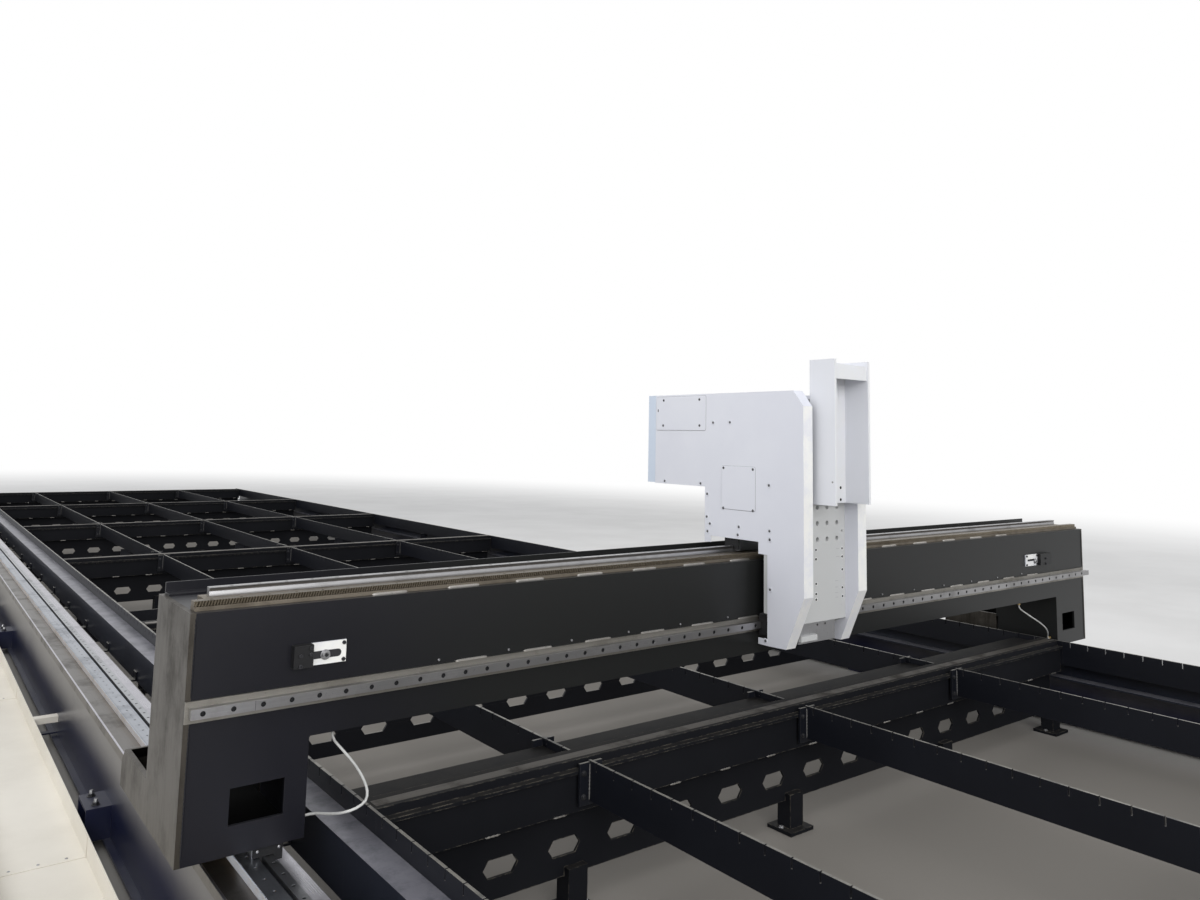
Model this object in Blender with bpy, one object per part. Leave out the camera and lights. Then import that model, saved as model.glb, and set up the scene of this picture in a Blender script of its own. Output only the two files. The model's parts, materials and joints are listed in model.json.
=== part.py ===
"""Floor-rail-mounted gantry laser cutting machine, metres, +Z up, X across, Y along the floor rails."""
import math

import bmesh
import bpy
from mathutils import Vector

# Overall lay-out: x from the machine's centre plane, y from the gantry's front rail face, z from the floor
GAP = 0.0003
BAY_LENGTH = 3.14
BAYS_AHEAD = 1
BAYS_BEHIND = 5
RAIL_OVERHANG = 0.280

# Widths: everything across the machine follows from the gantry's half span
HALF_SPAN = 2.585
RAIL_INSET = 0.107
RAIL_WIDTH = 0.221
SEAT_OVERHANG = 0.006
SEAT_INNER_OVERHANG = 0.003
GUIDE_INSET = 0.147
RACK_INSET = 0.067
TABLE_CLEARANCE = 0.097
OUTER_BAR_INSET = 0.095
TRAY_GAP = 0.107
TRAY_WIDTH = 0.300
RAIL_OUTER = HALF_SPAN - RAIL_INSET
RAIL_INNER = RAIL_OUTER - RAIL_WIDTH
SEAT_OUTER = RAIL_OUTER + SEAT_OVERHANG
SEAT_INNER = RAIL_INNER - SEAT_INNER_OVERHANG
GUIDE_CENTRE = RAIL_OUTER - GUIDE_INSET
RACK_OUTER = RAIL_OUTER - RACK_INSET
TABLE_HALF_WIDTH = RAIL_INNER - TABLE_CLEARANCE
OUTER_BAR_X = TABLE_HALF_WIDTH - OUTER_BAR_INSET
TRAY_INNER = RAIL_OUTER + TRAY_GAP
TRAY_OUTER = TRAY_INNER + TRAY_WIDTH

# Worktable grid: the bars' places are shares of the outermost bar's distance
TABLE_TOP = 0.515
BAR_SHARES = (-1.0, -0.6271, -0.0799, 0.4673, 1.0)
BAR_X = tuple(share * OUTER_BAR_X for share in BAR_SHARES)
BAR_THICKNESS = 0.010
BAR_DEPTH = 0.130
SLOT_PITCH = 0.0947
SLOT_WIDTH = 0.005
SLOT_DEPTH = 0.026
SLOT_FIRST = 0.270
SLOT_LAST_CLEAR = 0.200
SLOTTED_BAYS = (0,)
END_PLATE_WIDTH = 0.094
END_PLATE_THICKNESS = 0.010
END_PLATE_HEIGHT = 0.138
END_PLATE_DROP = 0.004
CHANNEL_TOP = 0.455
CHANNEL_BOTTOM = 0.300
CHANNEL_WALL = 0.008
CHANNEL_FOOT = 0.080

# Cross beams of the worktable
FLANGE_NEAR = -0.054
FLANGE_FAR = 0.038
LEDGE_NEAR = -0.080
LEDGE_FAR = 0.200
LEDGE_TOP = 0.487
LEDGE_BOTTOM = 0.475
WEB_NEAR = -0.066
WEB_FAR = -0.056
BACK_WEB_NEAR = 0.184
BACK_WEB_FAR = 0.194
SHELF_TOP = 0.358
SHELF_BOTTOM = 0.348
SKIRT_NEAR = -0.002
SKIRT_FAR = 0.008
SKIRT_BOTTOM = 0.120
POST_WIDTH = 0.080
POST_NEAR = -0.030
POST_FAR = 0.040
POST_TOP = 0.150
FOOT_PLATE_WIDTH = 0.140
FOOT_PLATE_NEAR = -0.060
FOOT_PLATE_FAR = 0.070
FOOT_PLATE_HEIGHT = 0.015
LOW_PLATE_TOP = 0.310
LOW_PLATE_BOTTOM = 0.120
LOW_PLATE_THICKNESS = 0.010
LOW_PLATE_POST = 0.090
LOW_PLATE_REACH = 0.006
WINDOW_TOP = 0.245
WINDOW_BOTTOM = 0.188
WINDOW_WIDTH = 0.132
WINDOW_CHAMFER = 0.020
WINDOW_PITCH = 0.254
WINDOW_FIRSTS = (-0.5305, -0.804, -1.083)
WINDOW_MARGIN = 0.100

# Floor rails
RAIL_TOP = 0.360
RAIL_BASE = 0.040
RAIL_WALL = 0.012
RAIL_TOP_PLATE = 0.020
RAIL_FOOT = 0.050
RAIL_OPEN = 0.080
SEAT_TOP = 0.390
GUIDE_WIDTH = 0.028
GUIDE_HEIGHT = 0.026
RACK_WIDTH = 0.054
RACK_HEIGHT = 0.025
ANCHOR_REACH = 0.090
ANCHOR_WIDTH = 0.180
ANCHOR_TOP = 0.160
ANCHOR_WALL = 0.012
ANCHOR_SINK = 0.004
ANCHOR_FIRST = 1.120
ANCHOR_PITCH = 3.800

# Cable tray beside the left floor rail
TRAY_TOP = 0.137
TRAY_BOTTOM = 0.060
TRAY_WALL = 0.003
TRAY_ARM_WIDTH = 0.040
TRAY_ARM_HEIGHT = 0.008
TRAY_ARM_TOP = 0.0597
TRAY_ARM_INSET = 0.060
TRAY_ARM_STEP = 1.380
TRAY_LUG_WIDTH = 0.055
TRAY_LUG_HEIGHT = 0.030

# Gantry weldment
END_PLATE = 0.015
FACE_Y = 0.032
BACK_Y = 0.410
BEAM_TOP = 1.110
BEAM_BOTTOM = 0.730
LEG_BOTTOM = 0.450
LEG_WIDTH = 0.348
LEG_INNER = HALF_SPAN - LEG_WIDTH
PLATE = 0.012
LEG_WINDOW_WIDTH = 0.150
LEG_WINDOW_OUTER = 0.133
LEG_WINDOW_TOP = 0.628
LEG_WINDOW_BOTTOM = 0.528
BACK_SKIRT = 0.560
TRUCK_FAR = 0.760
TRUCK_TOP = 0.572
TRUCK_CHAMFER_Y = 0.040
TRUCK_CHAMFER_Z = 0.042
TRUCK_FLOOR = 0.015
BLOCK_LENGTH = 0.140
BLOCK_WIDTH = 0.086
BLOCK_FRONT_Y = 0.060
BLOCK_REAR_Y = 0.600
BLOCK_LIFT = 0.008
BLOCK_SIDE_GAP = 0.0004

# Gantry guide ways
PAD_Y = 0.024
PAD_HALF = 0.029
RAIL_Z = 0.850
FRONT_RAIL_Y = -0.002
FRONT_RAIL_HALF = 0.0135
FRONT_RAIL_STICK_OUT = 0.012
FRONT_RAIL_INSET = 0.010
PAD_INSET = 0.020
TOP_RACK_PAD_NEAR = 0.057
TOP_RACK_PAD_FAR = 0.100
TOP_RACK_PAD_TOP = 1.122
TOP_RACK_TOP = 1.137
TOP_RACK_INSET = 0.004
TOP_PAD_NEAR = 0.140
TOP_PAD_FAR = 0.210
TOP_PAD_TOP = 1.130
TOP_RAIL_TOP = 1.156
TOP_PAD_END = 0.060
TOP_RAIL_END = 0.080
UPSTAND_NEAR = 0.350
UPSTAND_FAR = 0.405
UPSTAND_TOP = 1.145
UPSTAND_WALL = 0.006

# Travel stops on the gantry's front face, measured from the ends of the beam
STOP_LEFT_INSETS = (0.282, 0.339, 0.445)
STOP_RIGHT_INSETS = (0.440, 0.570, 0.700)
STOP_BOTTOM = 0.930
STOP_TOP = 0.994
STOP_PLATE = 0.006
STOP_BLOCK = 0.026
STOP_SLOT_HALF = 0.006
STOP_SLOT_END = 0.018

# Lubrication tubes: distance from the leg's inner face, then y and z
TUBE_RADIUS = 0.004
GLAND_RADIUS = 0.008
GLAND_LENGTH = 0.014
LEFT_TUBE = (
    (0.0960, 0.100, 0.7152), (0.0960, 0.100, 0.704), (0.1010, 0.091, 0.684), (0.1250, 0.065, 0.652),
    (0.1450, 0.035, 0.622), (0.1570, 0.000, 0.592), (0.1550, -0.040, 0.567), (0.1370, -0.068, 0.550),
    (0.1050, -0.075, 0.539), (0.0770, -0.055, 0.528), (0.0650, -0.012, 0.514), (0.0570, 0.035, 0.501),
    (0.0470, 0.068, 0.494), (0.0320, 0.078, 0.492), (0.0225, 0.078, 0.492), (0.0148, 0.078, 0.492),
)
RIGHT_TUBE = (
    (0.3820, 0.060, 0.7152), (0.3820, 0.060, 0.704), (0.3670, 0.052, 0.685), (0.2920, 0.034, 0.642),
    (0.2170, 0.028, 0.606), (0.1470, 0.032, 0.571), (0.0870, 0.048, 0.537), (0.0490, 0.066, 0.505),
    (0.0310, 0.078, 0.487), (0.0225, 0.078, 0.486), (0.0148, 0.078, 0.486),
)
TUBE_POINTS = 30

# Carriage on the gantry
CARRIAGE_LEFT = -0.357
CARRIAGE_RIGHT = -0.007
SHEET = 0.003
COVER_FLANGE = 0.057
COVER_BOTTOM = 0.772
COVER_TOP = 1.820
COVER_OUTLINE = (
    (-0.140, 0.775), (-0.234, 0.989), (-0.234, 1.755), (-0.182, 1.820), (0.676, 1.820), (0.676, 1.402),
    (0.333, 1.402), (0.333, 1.160), (0.293, 1.160), (0.293, 1.188), (0.010, 1.188), (0.010, 1.139),
    (-0.040, 1.139), (-0.040, 0.798), (0.010, 0.798), (0.010, 0.772), (-0.050, 0.772),
)
COVER_FLANGE_POINTS = 4
FACE_PLATE_Y = -0.166
FACE_PLATE_THICKNESS = 0.018
FACE_PLATE_BOTTOM = 0.872
FACE_PLATE_TOP = 1.790
BACK_PLATE_NEAR = -0.062
BACK_PLATE_FAR = -0.042
BACK_PLATE_BOTTOM = 0.800
SPACER_FAR = -0.018
SPACER_BOTTOM = 0.900
SPACER_TOP = 1.140
RIB_THICKNESS = 0.014
ARM_BOTTOM = 1.196
ARM_TOP = 1.216
ARM_FAR = 0.330
RIB_TOP_Y = -0.120
REAR_RIB_TOP = 1.380
BIG_HOLE_RADIUS = 0.010
BIG_HOLE_X = (-0.189, -0.126, -0.061)
BIG_HOLE_Z = (1.338, 1.272, 1.206)
SMALL_HOLE_RADIUS = 0.005
SMALL_HOLE_X = (-0.330, -0.027)
SMALL_HOLE_Z = (1.236, 1.160, 1.084, 1.040, 0.980, 0.930)
LOWER_PLATE_X = (-0.292, -0.060)
LOWER_PLATE_Z = (0.789, 0.868)
LOWER_PLATE_Y = (-0.150, -0.138)
LOWER_HOLE_X = (-0.172, -0.123)
LOWER_HOLE_Z = 0.856
LOWER_LUG_X = (-0.285, -0.225)
GREY_BAR_Y = (-0.164, -0.1503)
GREY_BAR_Z = (0.800, 0.822)
GREY_BAR_X = (-0.290, -0.190)
BACK_COVER_NEAR = 0.6763
BACK_COVER_FAR = 0.747
BACK_COVER_BOTTOM = 1.405
BACK_COVER_CHAMFER = 0.018
ACCESS_UPPER_Y = (0.331, 0.669)
ACCESS_UPPER_Z = (1.654, 1.812)
ACCESS_LOWER_Y = (0.028, 0.227)
ACCESS_LOWER_Z = (1.312, 1.499)
ACCESS_CORNER = 0.008
ACCESS_THICKNESS = 0.002
FRONT_BLOCK_X = ((-0.340, -0.222), (-0.142, -0.024))
FRONT_BLOCK_HALF = 0.043
FRONT_BLOCK_CLEAR = 0.008
TOP_BLOCK_HALF = 0.043

# Vertical ram
RAM_LEFT = -0.275
RAM_RIGHT = -0.044
RAM_FRONT = -0.328
RAM_BACK = -0.200
RAM_BOTTOM = 1.357
RAM_TOP = 1.950
RAM_WALL = 0.012
RAM_BACK_WALL = 0.010
RAM_STRIP_WIDTH = 0.022
RAM_STRIP_DEPTH = 0.004
RAM_LIP_BOTTOM = 1.870
RAM_LIP_TOP = 1.930
RAM_LIP_INSET = 0.006
RAM_LIP_THICKNESS = 0.008
RAM_TOP_PLATE = 0.004
RAM_HOLE_RADIUS = 0.006
RAM_HOLE_X = -0.252
RAM_HOLE_Z = (1.385, 1.432)
RAM_RAIL_X = (-0.245, -0.074)
RAM_RAIL_HALF = 0.0075
RAM_RAIL_DEPTH = 0.014
RAM_RAIL_END = 0.015
RAM_BLOCK_HALF = 0.017
RAM_BLOCK_Z = (1.400, 1.560)
RAM_BLOCK_CLEAR = 0.004

# Frame: the middle of the whole machine's foot print is the origin
CENTRE_X = (TRAY_OUTER - HALF_SPAN - FRONT_RAIL_STICK_OUT) / 2.0
GANTRY_Y = (BAYS_AHEAD - BAYS_BEHIND) * BAY_LENGTH / 2.0

PAINTS = {
    "beam_black": ((0.028, 0.029, 0.032), 0.42, 0.0),
    "table_navy": ((0.016, 0.018, 0.028), 0.45, 0.0),
    "rail_navy": ((0.022, 0.027, 0.090), 0.35, 0.0),
    "machined_steel": ((0.52, 0.53, 0.55), 0.28, 1.0),
    "raw_steel": ((0.30, 0.27, 0.24), 0.42, 1.0),
    "cover_white": ((0.80, 0.81, 0.86), 0.38, 0.0),
    "plate_grey": ((0.46, 0.46, 0.45), 0.45, 0.0),
    "tray_cream": ((0.83, 0.80, 0.73), 0.45, 0.0),
    "tube_white": ((0.75, 0.75, 0.74), 0.50, 0.0),
    "block_black": ((0.02, 0.02, 0.022), 0.50, 0.0),
}


def clear_scene():
    """Remove whatever the start-up file holds."""
    for item in list(bpy.data.objects):
        bpy.data.objects.remove(item, do_unlink=True)


def paint(name):
    """Give the named material, made on first use."""
    found = bpy.data.materials.get(name)
    if found:
        return found
    colour, roughness, metallic = PAINTS[name]
    made = bpy.data.materials.new(name)
    made.use_nodes = True
    shader = made.node_tree.nodes["Principled BSDF"]
    shader.inputs["Base Color"].default_value = (*colour, 1.0)
    shader.inputs["Roughness"].default_value = roughness
    shader.inputs["Metallic"].default_value = metallic
    made.diffuse_color = (*colour, 1.0)
    return made


def axis_empty(name, place, parent=None):
    """Make the empty that a moving sub-assembly hangs from, on its slide's axis."""
    empty = bpy.data.objects.new(name, None)
    bpy.context.collection.objects.link(empty)
    empty.parent = parent
    empty.location = Vector(place) - world(parent)
    empty["place"] = Vector(place)
    return empty


def world(parent):
    """Give the frame position of an axis empty."""
    return Vector(parent["place"]) if parent else Vector((0.0, 0.0, 0.0))


def lift(axis, first, second, along):
    """Turn a point of an outline into a 3-D point for the axis that the outline is pushed along."""
    if axis == "x":
        return (along, first, second)
    if axis == "y":
        return (first, along, second)
    return (first, second, along)


def add_prism(mesh, axis, outline, start, end):
    """Push one flat outline along an axis, into an open bmesh."""
    low = [mesh.verts.new(lift(axis, a, b, start)) for a, b in outline]
    high = [mesh.verts.new(lift(axis, a, b, end)) for a, b in outline]
    mesh.faces.new(low)
    mesh.faces.new(high[::-1])
    count = len(outline)
    for i in range(count):
        j = (i + 1) % count
        mesh.faces.new((low[j], low[i], high[i], high[j]))


def add_box(mesh, xs, ys, zs):
    """Add one box, given as three pairs of limits."""
    add_prism(mesh, "z", ((xs[0], ys[0]), (xs[1], ys[0]), (xs[1], ys[1]), (xs[0], ys[1])), zs[0], zs[1])


def add_cylinder(mesh, axis, centre, radius, start, end, sides=16):
    """Add one round bar or drill along an axis."""
    outline = []
    for i in range(sides):
        turn = math.tau * (i + 0.5) / sides
        outline.append((centre[0] + radius * math.cos(turn), centre[1] + radius * math.sin(turn)))
    add_prism(mesh, axis, outline, start, end)


def loose(name, fill):
    """Make an object from a function that fills a bmesh, with its mesh in the frame's own coordinates."""
    mesh = bmesh.new()
    fill(mesh)
    bmesh.ops.recalc_face_normals(mesh, faces=mesh.faces)
    data = bpy.data.meshes.new(name)
    mesh.to_mesh(data)
    mesh.free()
    item = bpy.data.objects.new(name, data)
    bpy.context.collection.objects.link(item)
    return item


def apply_tools(item, tools):
    """Cut or join tool objects with the exact Boolean, then bake the result and drop the tools."""
    for operation, tool in tools:
        change = item.modifiers.new(operation.lower(), "BOOLEAN")
        change.operation = operation
        change.solver = "EXACT"
        change.object = tool
    if tools:
        graph = bpy.context.evaluated_depsgraph_get()
        baked = bpy.data.meshes.new_from_object(item.evaluated_get(graph))
        item.modifiers.clear()
        item.data = baked
        for _, tool in tools:
            bpy.data.objects.remove(tool, do_unlink=True)


def settle(item, parent, colour):
    """Give a finished object its own origin, its parent and its material."""
    corners = [Vector(v.co) for v in item.data.vertices]
    low = Vector((min(c[i] for c in corners) for i in range(3)))
    high = Vector((max(c[i] for c in corners) for i in range(3)))
    centre = (low + high) / 2.0
    for vertex in item.data.vertices:
        vertex.co = Vector(vertex.co) - centre
    item.location = centre - world(parent)
    item.parent = parent
    item.data.materials.clear()
    item.data.materials.append(paint(colour))
    return item


def piece(name, parent, colour, fill, cuts=(), joins=()):
    """Build one named piece: a filled body, less its cuts, with its joined parts."""
    item = loose(name, fill)
    tools = [("UNION", loose(name + "_join", one)) for one in joins]
    tools += [("DIFFERENCE", loose(name + "_cut", one)) for one in cuts]
    apply_tools(item, tools)
    return settle(item, parent, colour)


def bounds_of(*values):
    """Sort limits into a rising pair."""
    return (min(values), max(values))


def in_x(value):
    """Shift a distance from the machine's centre plane into the frame."""
    return value + CENTRE_X


def in_y(value):
    """Shift a distance from the gantry's front rail face into the frame."""
    return value + GANTRY_Y


def shift(outline):
    """Shift an outline of y and z into the frame."""
    return [(in_y(a), b) for a, b in outline]


def window_centres():
    """Give the x of every lightening window: one run to the right, one to the left and one between them."""
    reach = OUTER_BAR_X - WINDOW_MARGIN - WINDOW_WIDTH / 2.0
    right, middle, left = WINDOW_FIRSTS
    centres = [middle]
    for first, step in ((right, WINDOW_PITCH), (left, -WINDOW_PITCH)):
        place = first
        while abs(place) < reach:
            centres.append(place)
            place += step
    return centres


def fill_windows(near, far):
    """Give a filler for the long windows with pointed ends."""
    def fill(mesh):
        half = WINDOW_WIDTH / 2.0
        flat = half - WINDOW_CHAMFER
        middle = (WINDOW_TOP + WINDOW_BOTTOM) / 2.0
        for centre in window_centres():
            x = in_x(centre)
            outline = (
                (x - half, middle), (x - flat, WINDOW_BOTTOM), (x + flat, WINDOW_BOTTOM),
                (x + half, middle), (x + flat, WINDOW_TOP), (x - flat, WINDOW_TOP),
            )
            add_prism(mesh, "y", outline, near, far)
    return fill


def cross_beam(index, place):
    """Box beam with a flat bar on top, a windowed skirt plate below and five posts with foot plates."""
    profile = (
        (FLANGE_NEAR, TABLE_TOP), (FLANGE_FAR, TABLE_TOP), (FLANGE_FAR, LEDGE_TOP), (LEDGE_FAR, LEDGE_TOP),
        (LEDGE_FAR, LEDGE_BOTTOM), (BACK_WEB_FAR, LEDGE_BOTTOM), (BACK_WEB_FAR, SHELF_BOTTOM),
        (SKIRT_FAR, SHELF_BOTTOM), (SKIRT_FAR, SKIRT_BOTTOM), (SKIRT_NEAR, SKIRT_BOTTOM),
        (SKIRT_NEAR, SHELF_BOTTOM), (WEB_NEAR, SHELF_BOTTOM), (WEB_NEAR, LEDGE_BOTTOM),
        (LEDGE_NEAR, LEDGE_BOTTOM), (LEDGE_NEAR, LEDGE_TOP), (FLANGE_NEAR, LEDGE_TOP),
    )
    placed = [(a + place, b) for a, b in profile]
    tip = OUTER_BAR_X - BAR_THICKNESS / 2.0 - GAP

    def body(mesh):
        add_prism(mesh, "x", placed, in_x(-tip), in_x(tip))

    def hollow(mesh):
        add_box(mesh, (in_x(-tip - GAP), in_x(tip + GAP)), (place + WEB_FAR, place + BACK_WEB_NEAR),
                (SHELF_TOP, LEDGE_BOTTOM))

    def posts(mesh):
        for bar in BAR_X:
            half = POST_WIDTH / 2.0
            add_box(mesh, (in_x(bar - half), in_x(bar + half)), (place + POST_NEAR, place + POST_FAR),
                    (FOOT_PLATE_HEIGHT / 2.0, POST_TOP))

    def feet(mesh):
        for bar in BAR_X:
            half = FOOT_PLATE_WIDTH / 2.0
            add_box(mesh, (in_x(bar - half), in_x(bar + half)),
                    (place + FOOT_PLATE_NEAR, place + FOOT_PLATE_FAR), (0.0, FOOT_PLATE_HEIGHT))

    piece("cross_beam_%d" % index, None, "table_navy", body,
          cuts=(hollow, fill_windows(place + SKIRT_NEAR - 2 * GAP, place + SKIRT_FAR + 2 * GAP)),
          joins=(posts, feet))


def slot_places(beam_place):
    """Give the y of every slat slot of one bay."""
    count = int((BAY_LENGTH - SLOT_LAST_CLEAR - SLOT_FIRST) / SLOT_PITCH) + 1
    return [beam_place + SLOT_FIRST + i * SLOT_PITCH for i in range(count)]


def slotted_outline(bottom, start, end, slots):
    """Side view of one slat bar: its lower edge, then its top edge with the row of slat slots."""
    outline = list(bottom) + [(end, TABLE_TOP)]
    for middle in reversed(slots):
        outline += [(middle + SLOT_WIDTH / 2.0, TABLE_TOP), (middle + SLOT_WIDTH / 2.0, TABLE_TOP - SLOT_DEPTH),
                    (middle - SLOT_WIDTH / 2.0, TABLE_TOP - SLOT_DEPTH), (middle - SLOT_WIDTH / 2.0, TABLE_TOP)]
    outline.append((start, TABLE_TOP))
    return outline


def table_frame(index, beam_place, last):
    """Frame of one bay: inner slat bars between the cross beams, outer bars and side channels past them."""
    start = beam_place + LEDGE_FAR + GAP
    end = beam_place + BAY_LENGTH + LEDGE_NEAR - GAP
    tongue = beam_place + FLANGE_FAR + GAP
    side_start = beam_place + LEDGE_NEAR
    side_end = beam_place + BAY_LENGTH + (LEDGE_FAR if last else LEDGE_NEAR - GAP)
    middle = beam_place + BAY_LENGTH / 2.0
    low = TABLE_TOP - BAR_DEPTH
    slots = slot_places(beam_place) if index - 1 in SLOTTED_BAYS else []
    inner_foot = ((tongue, LEDGE_TOP + GAP), (start, LEDGE_TOP + GAP), (start, low), (end, low))
    inner_view = slotted_outline(inner_foot, tongue, end, slots)
    outer_view = slotted_outline(((side_start, low), (side_end, low)), side_start, side_end, slots)

    def bars(mesh):
        half = BAR_THICKNESS / 2.0
        for bar in BAR_X:
            view = inner_view if abs(bar) < OUTER_BAR_X else outer_view
            add_prism(mesh, "x", view, in_x(bar - half), in_x(bar + half))

    def end_plates(mesh):
        half = END_PLATE_WIDTH / 2.0
        top = TABLE_TOP - END_PLATE_DROP
        for bar in BAR_X[1:-1]:
            for near in (start, end - END_PLATE_THICKNESS):
                add_box(mesh, (in_x(bar - half), in_x(bar + half)), (near, near + END_PLATE_THICKNESS),
                        (top - END_PLATE_HEIGHT, top))

    def channels(mesh):
        for side in (-1.0, 1.0):
            outer = side * TABLE_HALF_WIDTH
            inner = side * (OUTER_BAR_X - BAR_THICKNESS / 4.0)
            web = outer - side * CHANNEL_WALL
            foot = outer - side * CHANNEL_FOOT
            profile = (
                (outer, CHANNEL_TOP), (inner, CHANNEL_TOP), (inner, CHANNEL_TOP - CHANNEL_WALL),
                (web, CHANNEL_TOP - CHANNEL_WALL), (web, CHANNEL_BOTTOM + CHANNEL_WALL),
                (foot, CHANNEL_BOTTOM + CHANNEL_WALL), (foot, CHANNEL_BOTTOM), (outer, CHANNEL_BOTTOM),
            )
            add_prism(mesh, "y", [(in_x(a), b) for a, b in profile], side_start, side_end)

    def low_plate(mesh):
        top = low + LOW_PLATE_REACH
        half = LOW_PLATE_POST / 2.0
        edge = TABLE_HALF_WIDTH - CHANNEL_WALL / 2.0
        outline = [(in_x(-edge), LOW_PLATE_BOTTOM), (in_x(edge), LOW_PLATE_BOTTOM)]
        outline += [(in_x(edge), LOW_PLATE_TOP)]
        for bar in reversed(BAR_X):
            right = min(bar + half, edge - GAP)
            left = max(bar - half, -edge + GAP)
            outline += [(in_x(right), LOW_PLATE_TOP), (in_x(right), top), (in_x(left), top),
                        (in_x(left), LOW_PLATE_TOP)]
        outline.append((in_x(-edge), LOW_PLATE_TOP))
        add_prism(mesh, "y", outline, middle, middle + LOW_PLATE_THICKNESS)

    piece("table_frame_%d" % index, None, "table_navy", low_plate,
          cuts=(fill_windows(middle - 2 * GAP, middle + LOW_PLATE_THICKNESS + 2 * GAP),),
          joins=(bars, end_plates, channels))


def anchor_places(start, end):
    """Give the y of every anchor bracket of a floor rail."""
    count = int((end - start - ANCHOR_FIRST) / ANCHOR_PITCH) + 1
    return [start + ANCHOR_FIRST + i * ANCHOR_PITCH for i in range(count)]


def arm_places(start, end):
    """Give the y of every tray arm's near edge."""
    places = [anchor + TRAY_ARM_STEP for anchor in anchor_places(start, end)]
    return [place for place in places if place + TRAY_LUG_WIDTH < end]


def floor_rail(side, name, start, end):
    """One floor rail: hollow beam with its anchors and tray arms, machined seat, guide rail and rack."""
    outer, inner = side * RAIL_OUTER, side * RAIL_INNER
    low, high = bounds_of(in_x(outer), in_x(inner))
    centre = (low + high) / 2.0
    half = (high - low) / 2.0
    anchors = anchor_places(start, end)

    def tube(mesh):
        profile = [
            (centre - half - RAIL_FOOT / 2.0, RAIL_BASE), (centre - half - RAIL_FOOT / 2.0, RAIL_BASE - RAIL_WALL),
            (centre + half + RAIL_FOOT / 2.0, RAIL_BASE - RAIL_WALL), (centre + half + RAIL_FOOT / 2.0, RAIL_BASE),
            (centre + half, RAIL_BASE), (centre + half, RAIL_TOP), (centre - half, RAIL_TOP),
            (centre - half, RAIL_BASE),
        ]
        add_prism(mesh, "y", profile, start, end)

    def hollow(mesh):
        add_box(mesh, (centre - half + RAIL_WALL, centre + half - RAIL_WALL), (start - GAP, end + GAP),
                (RAIL_BASE + RAIL_WALL / 2.0, RAIL_TOP - RAIL_TOP_PLATE))

    def feet(mesh):
        for anchor in anchors:
            add_box(mesh, (centre - half, centre + half), (anchor - RAIL_FOOT, anchor + RAIL_FOOT),
                    (0.0, RAIL_BASE - RAIL_WALL / 2.0))

    def brackets(mesh):
        face = outer - side * ANCHOR_SINK
        tip = outer + side * ANCHOR_REACH
        xs = bounds_of(in_x(face), in_x(tip))
        for anchor in anchors:
            near, far = anchor - ANCHOR_WIDTH / 2.0, anchor + ANCHOR_WIDTH / 2.0
            outline = ((near, RAIL_BASE), (far, RAIL_BASE), (far, ANCHOR_TOP), (near, ANCHOR_TOP))
            add_prism(mesh, "x", outline, xs[0], xs[1])

    def bracket_hollows(mesh):
        inside = outer + side * ANCHOR_WALL
        beyond = outer + side * (ANCHOR_REACH + GAP)
        xs = bounds_of(in_x(inside), in_x(beyond))
        for anchor in anchors:
            near = anchor - ANCHOR_WIDTH / 2.0 + ANCHOR_WALL
            far = anchor + ANCHOR_WIDTH / 2.0 - ANCHOR_WALL
            add_box(mesh, xs, (near, far), (RAIL_BASE + ANCHOR_WALL, ANCHOR_TOP - ANCHOR_WALL))

    def tray_arms(mesh):
        tip = outer + side * (TRAY_OUTER - TRAY_ARM_INSET - RAIL_OUTER)
        xs = bounds_of(in_x(outer - side * ANCHOR_SINK), in_x(tip))
        for near in arm_places(start, end):
            add_box(mesh, xs, (near, near + TRAY_ARM_WIDTH), (TRAY_ARM_TOP - TRAY_ARM_HEIGHT, TRAY_ARM_TOP))

    joins = [feet, brackets]
    if side < 0.0:
        joins.append(tray_arms)
    piece(name + "_rail_beam", None, "rail_navy", tube, joins=joins, cuts=(hollow, bracket_hollows))

    def bar(xs, zs):
        def fill(mesh):
            add_box(mesh, bounds_of(in_x(xs[0]), in_x(xs[1])), (start, end), zs)
        return fill

    piece(name + "_rail_seat", None, "machined_steel",
          bar((side * SEAT_OUTER, side * SEAT_INNER), (RAIL_TOP + GAP, SEAT_TOP)))
    guide = side * GUIDE_CENTRE
    piece(name + "_floor_guide", None, "machined_steel",
          bar((guide - GUIDE_WIDTH / 2.0, guide + GUIDE_WIDTH / 2.0), (SEAT_TOP + GAP, SEAT_TOP + GUIDE_HEIGHT)))
    rack_inner = RACK_OUTER - RACK_WIDTH
    piece(name + "_floor_rack", None, "machined_steel",
          bar((side * RACK_OUTER, side * rack_inner), (SEAT_TOP + GAP, SEAT_TOP + RACK_HEIGHT)))


def cable_tray(start, end):
    """Long folded tray on the arms of the left floor rail."""
    left, right = in_x(-TRAY_OUTER), in_x(-TRAY_INNER)
    profile = (
        (left, TRAY_BOTTOM), (right, TRAY_BOTTOM), (right, TRAY_TOP), (right - TRAY_WALL, TRAY_TOP),
        (right - TRAY_WALL, TRAY_BOTTOM + TRAY_WALL), (left + TRAY_WALL, TRAY_BOTTOM + TRAY_WALL),
        (left + TRAY_WALL, TRAY_TOP), (left, TRAY_TOP),
    )

    def fill(mesh):
        add_prism(mesh, "y", profile, start, end)

    def lugs(mesh):
        for near in arm_places(start, end):
            add_box(mesh, (right - TRAY_WALL / 2.0, in_x(-RAIL_OUTER) - GAP), (near, near + TRAY_LUG_WIDTH),
                    (TRAY_TOP - TRAY_LUG_HEIGHT, TRAY_TOP - GAP))

    piece("cable_tray", None, "tray_cream", fill, joins=(lugs,))


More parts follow.
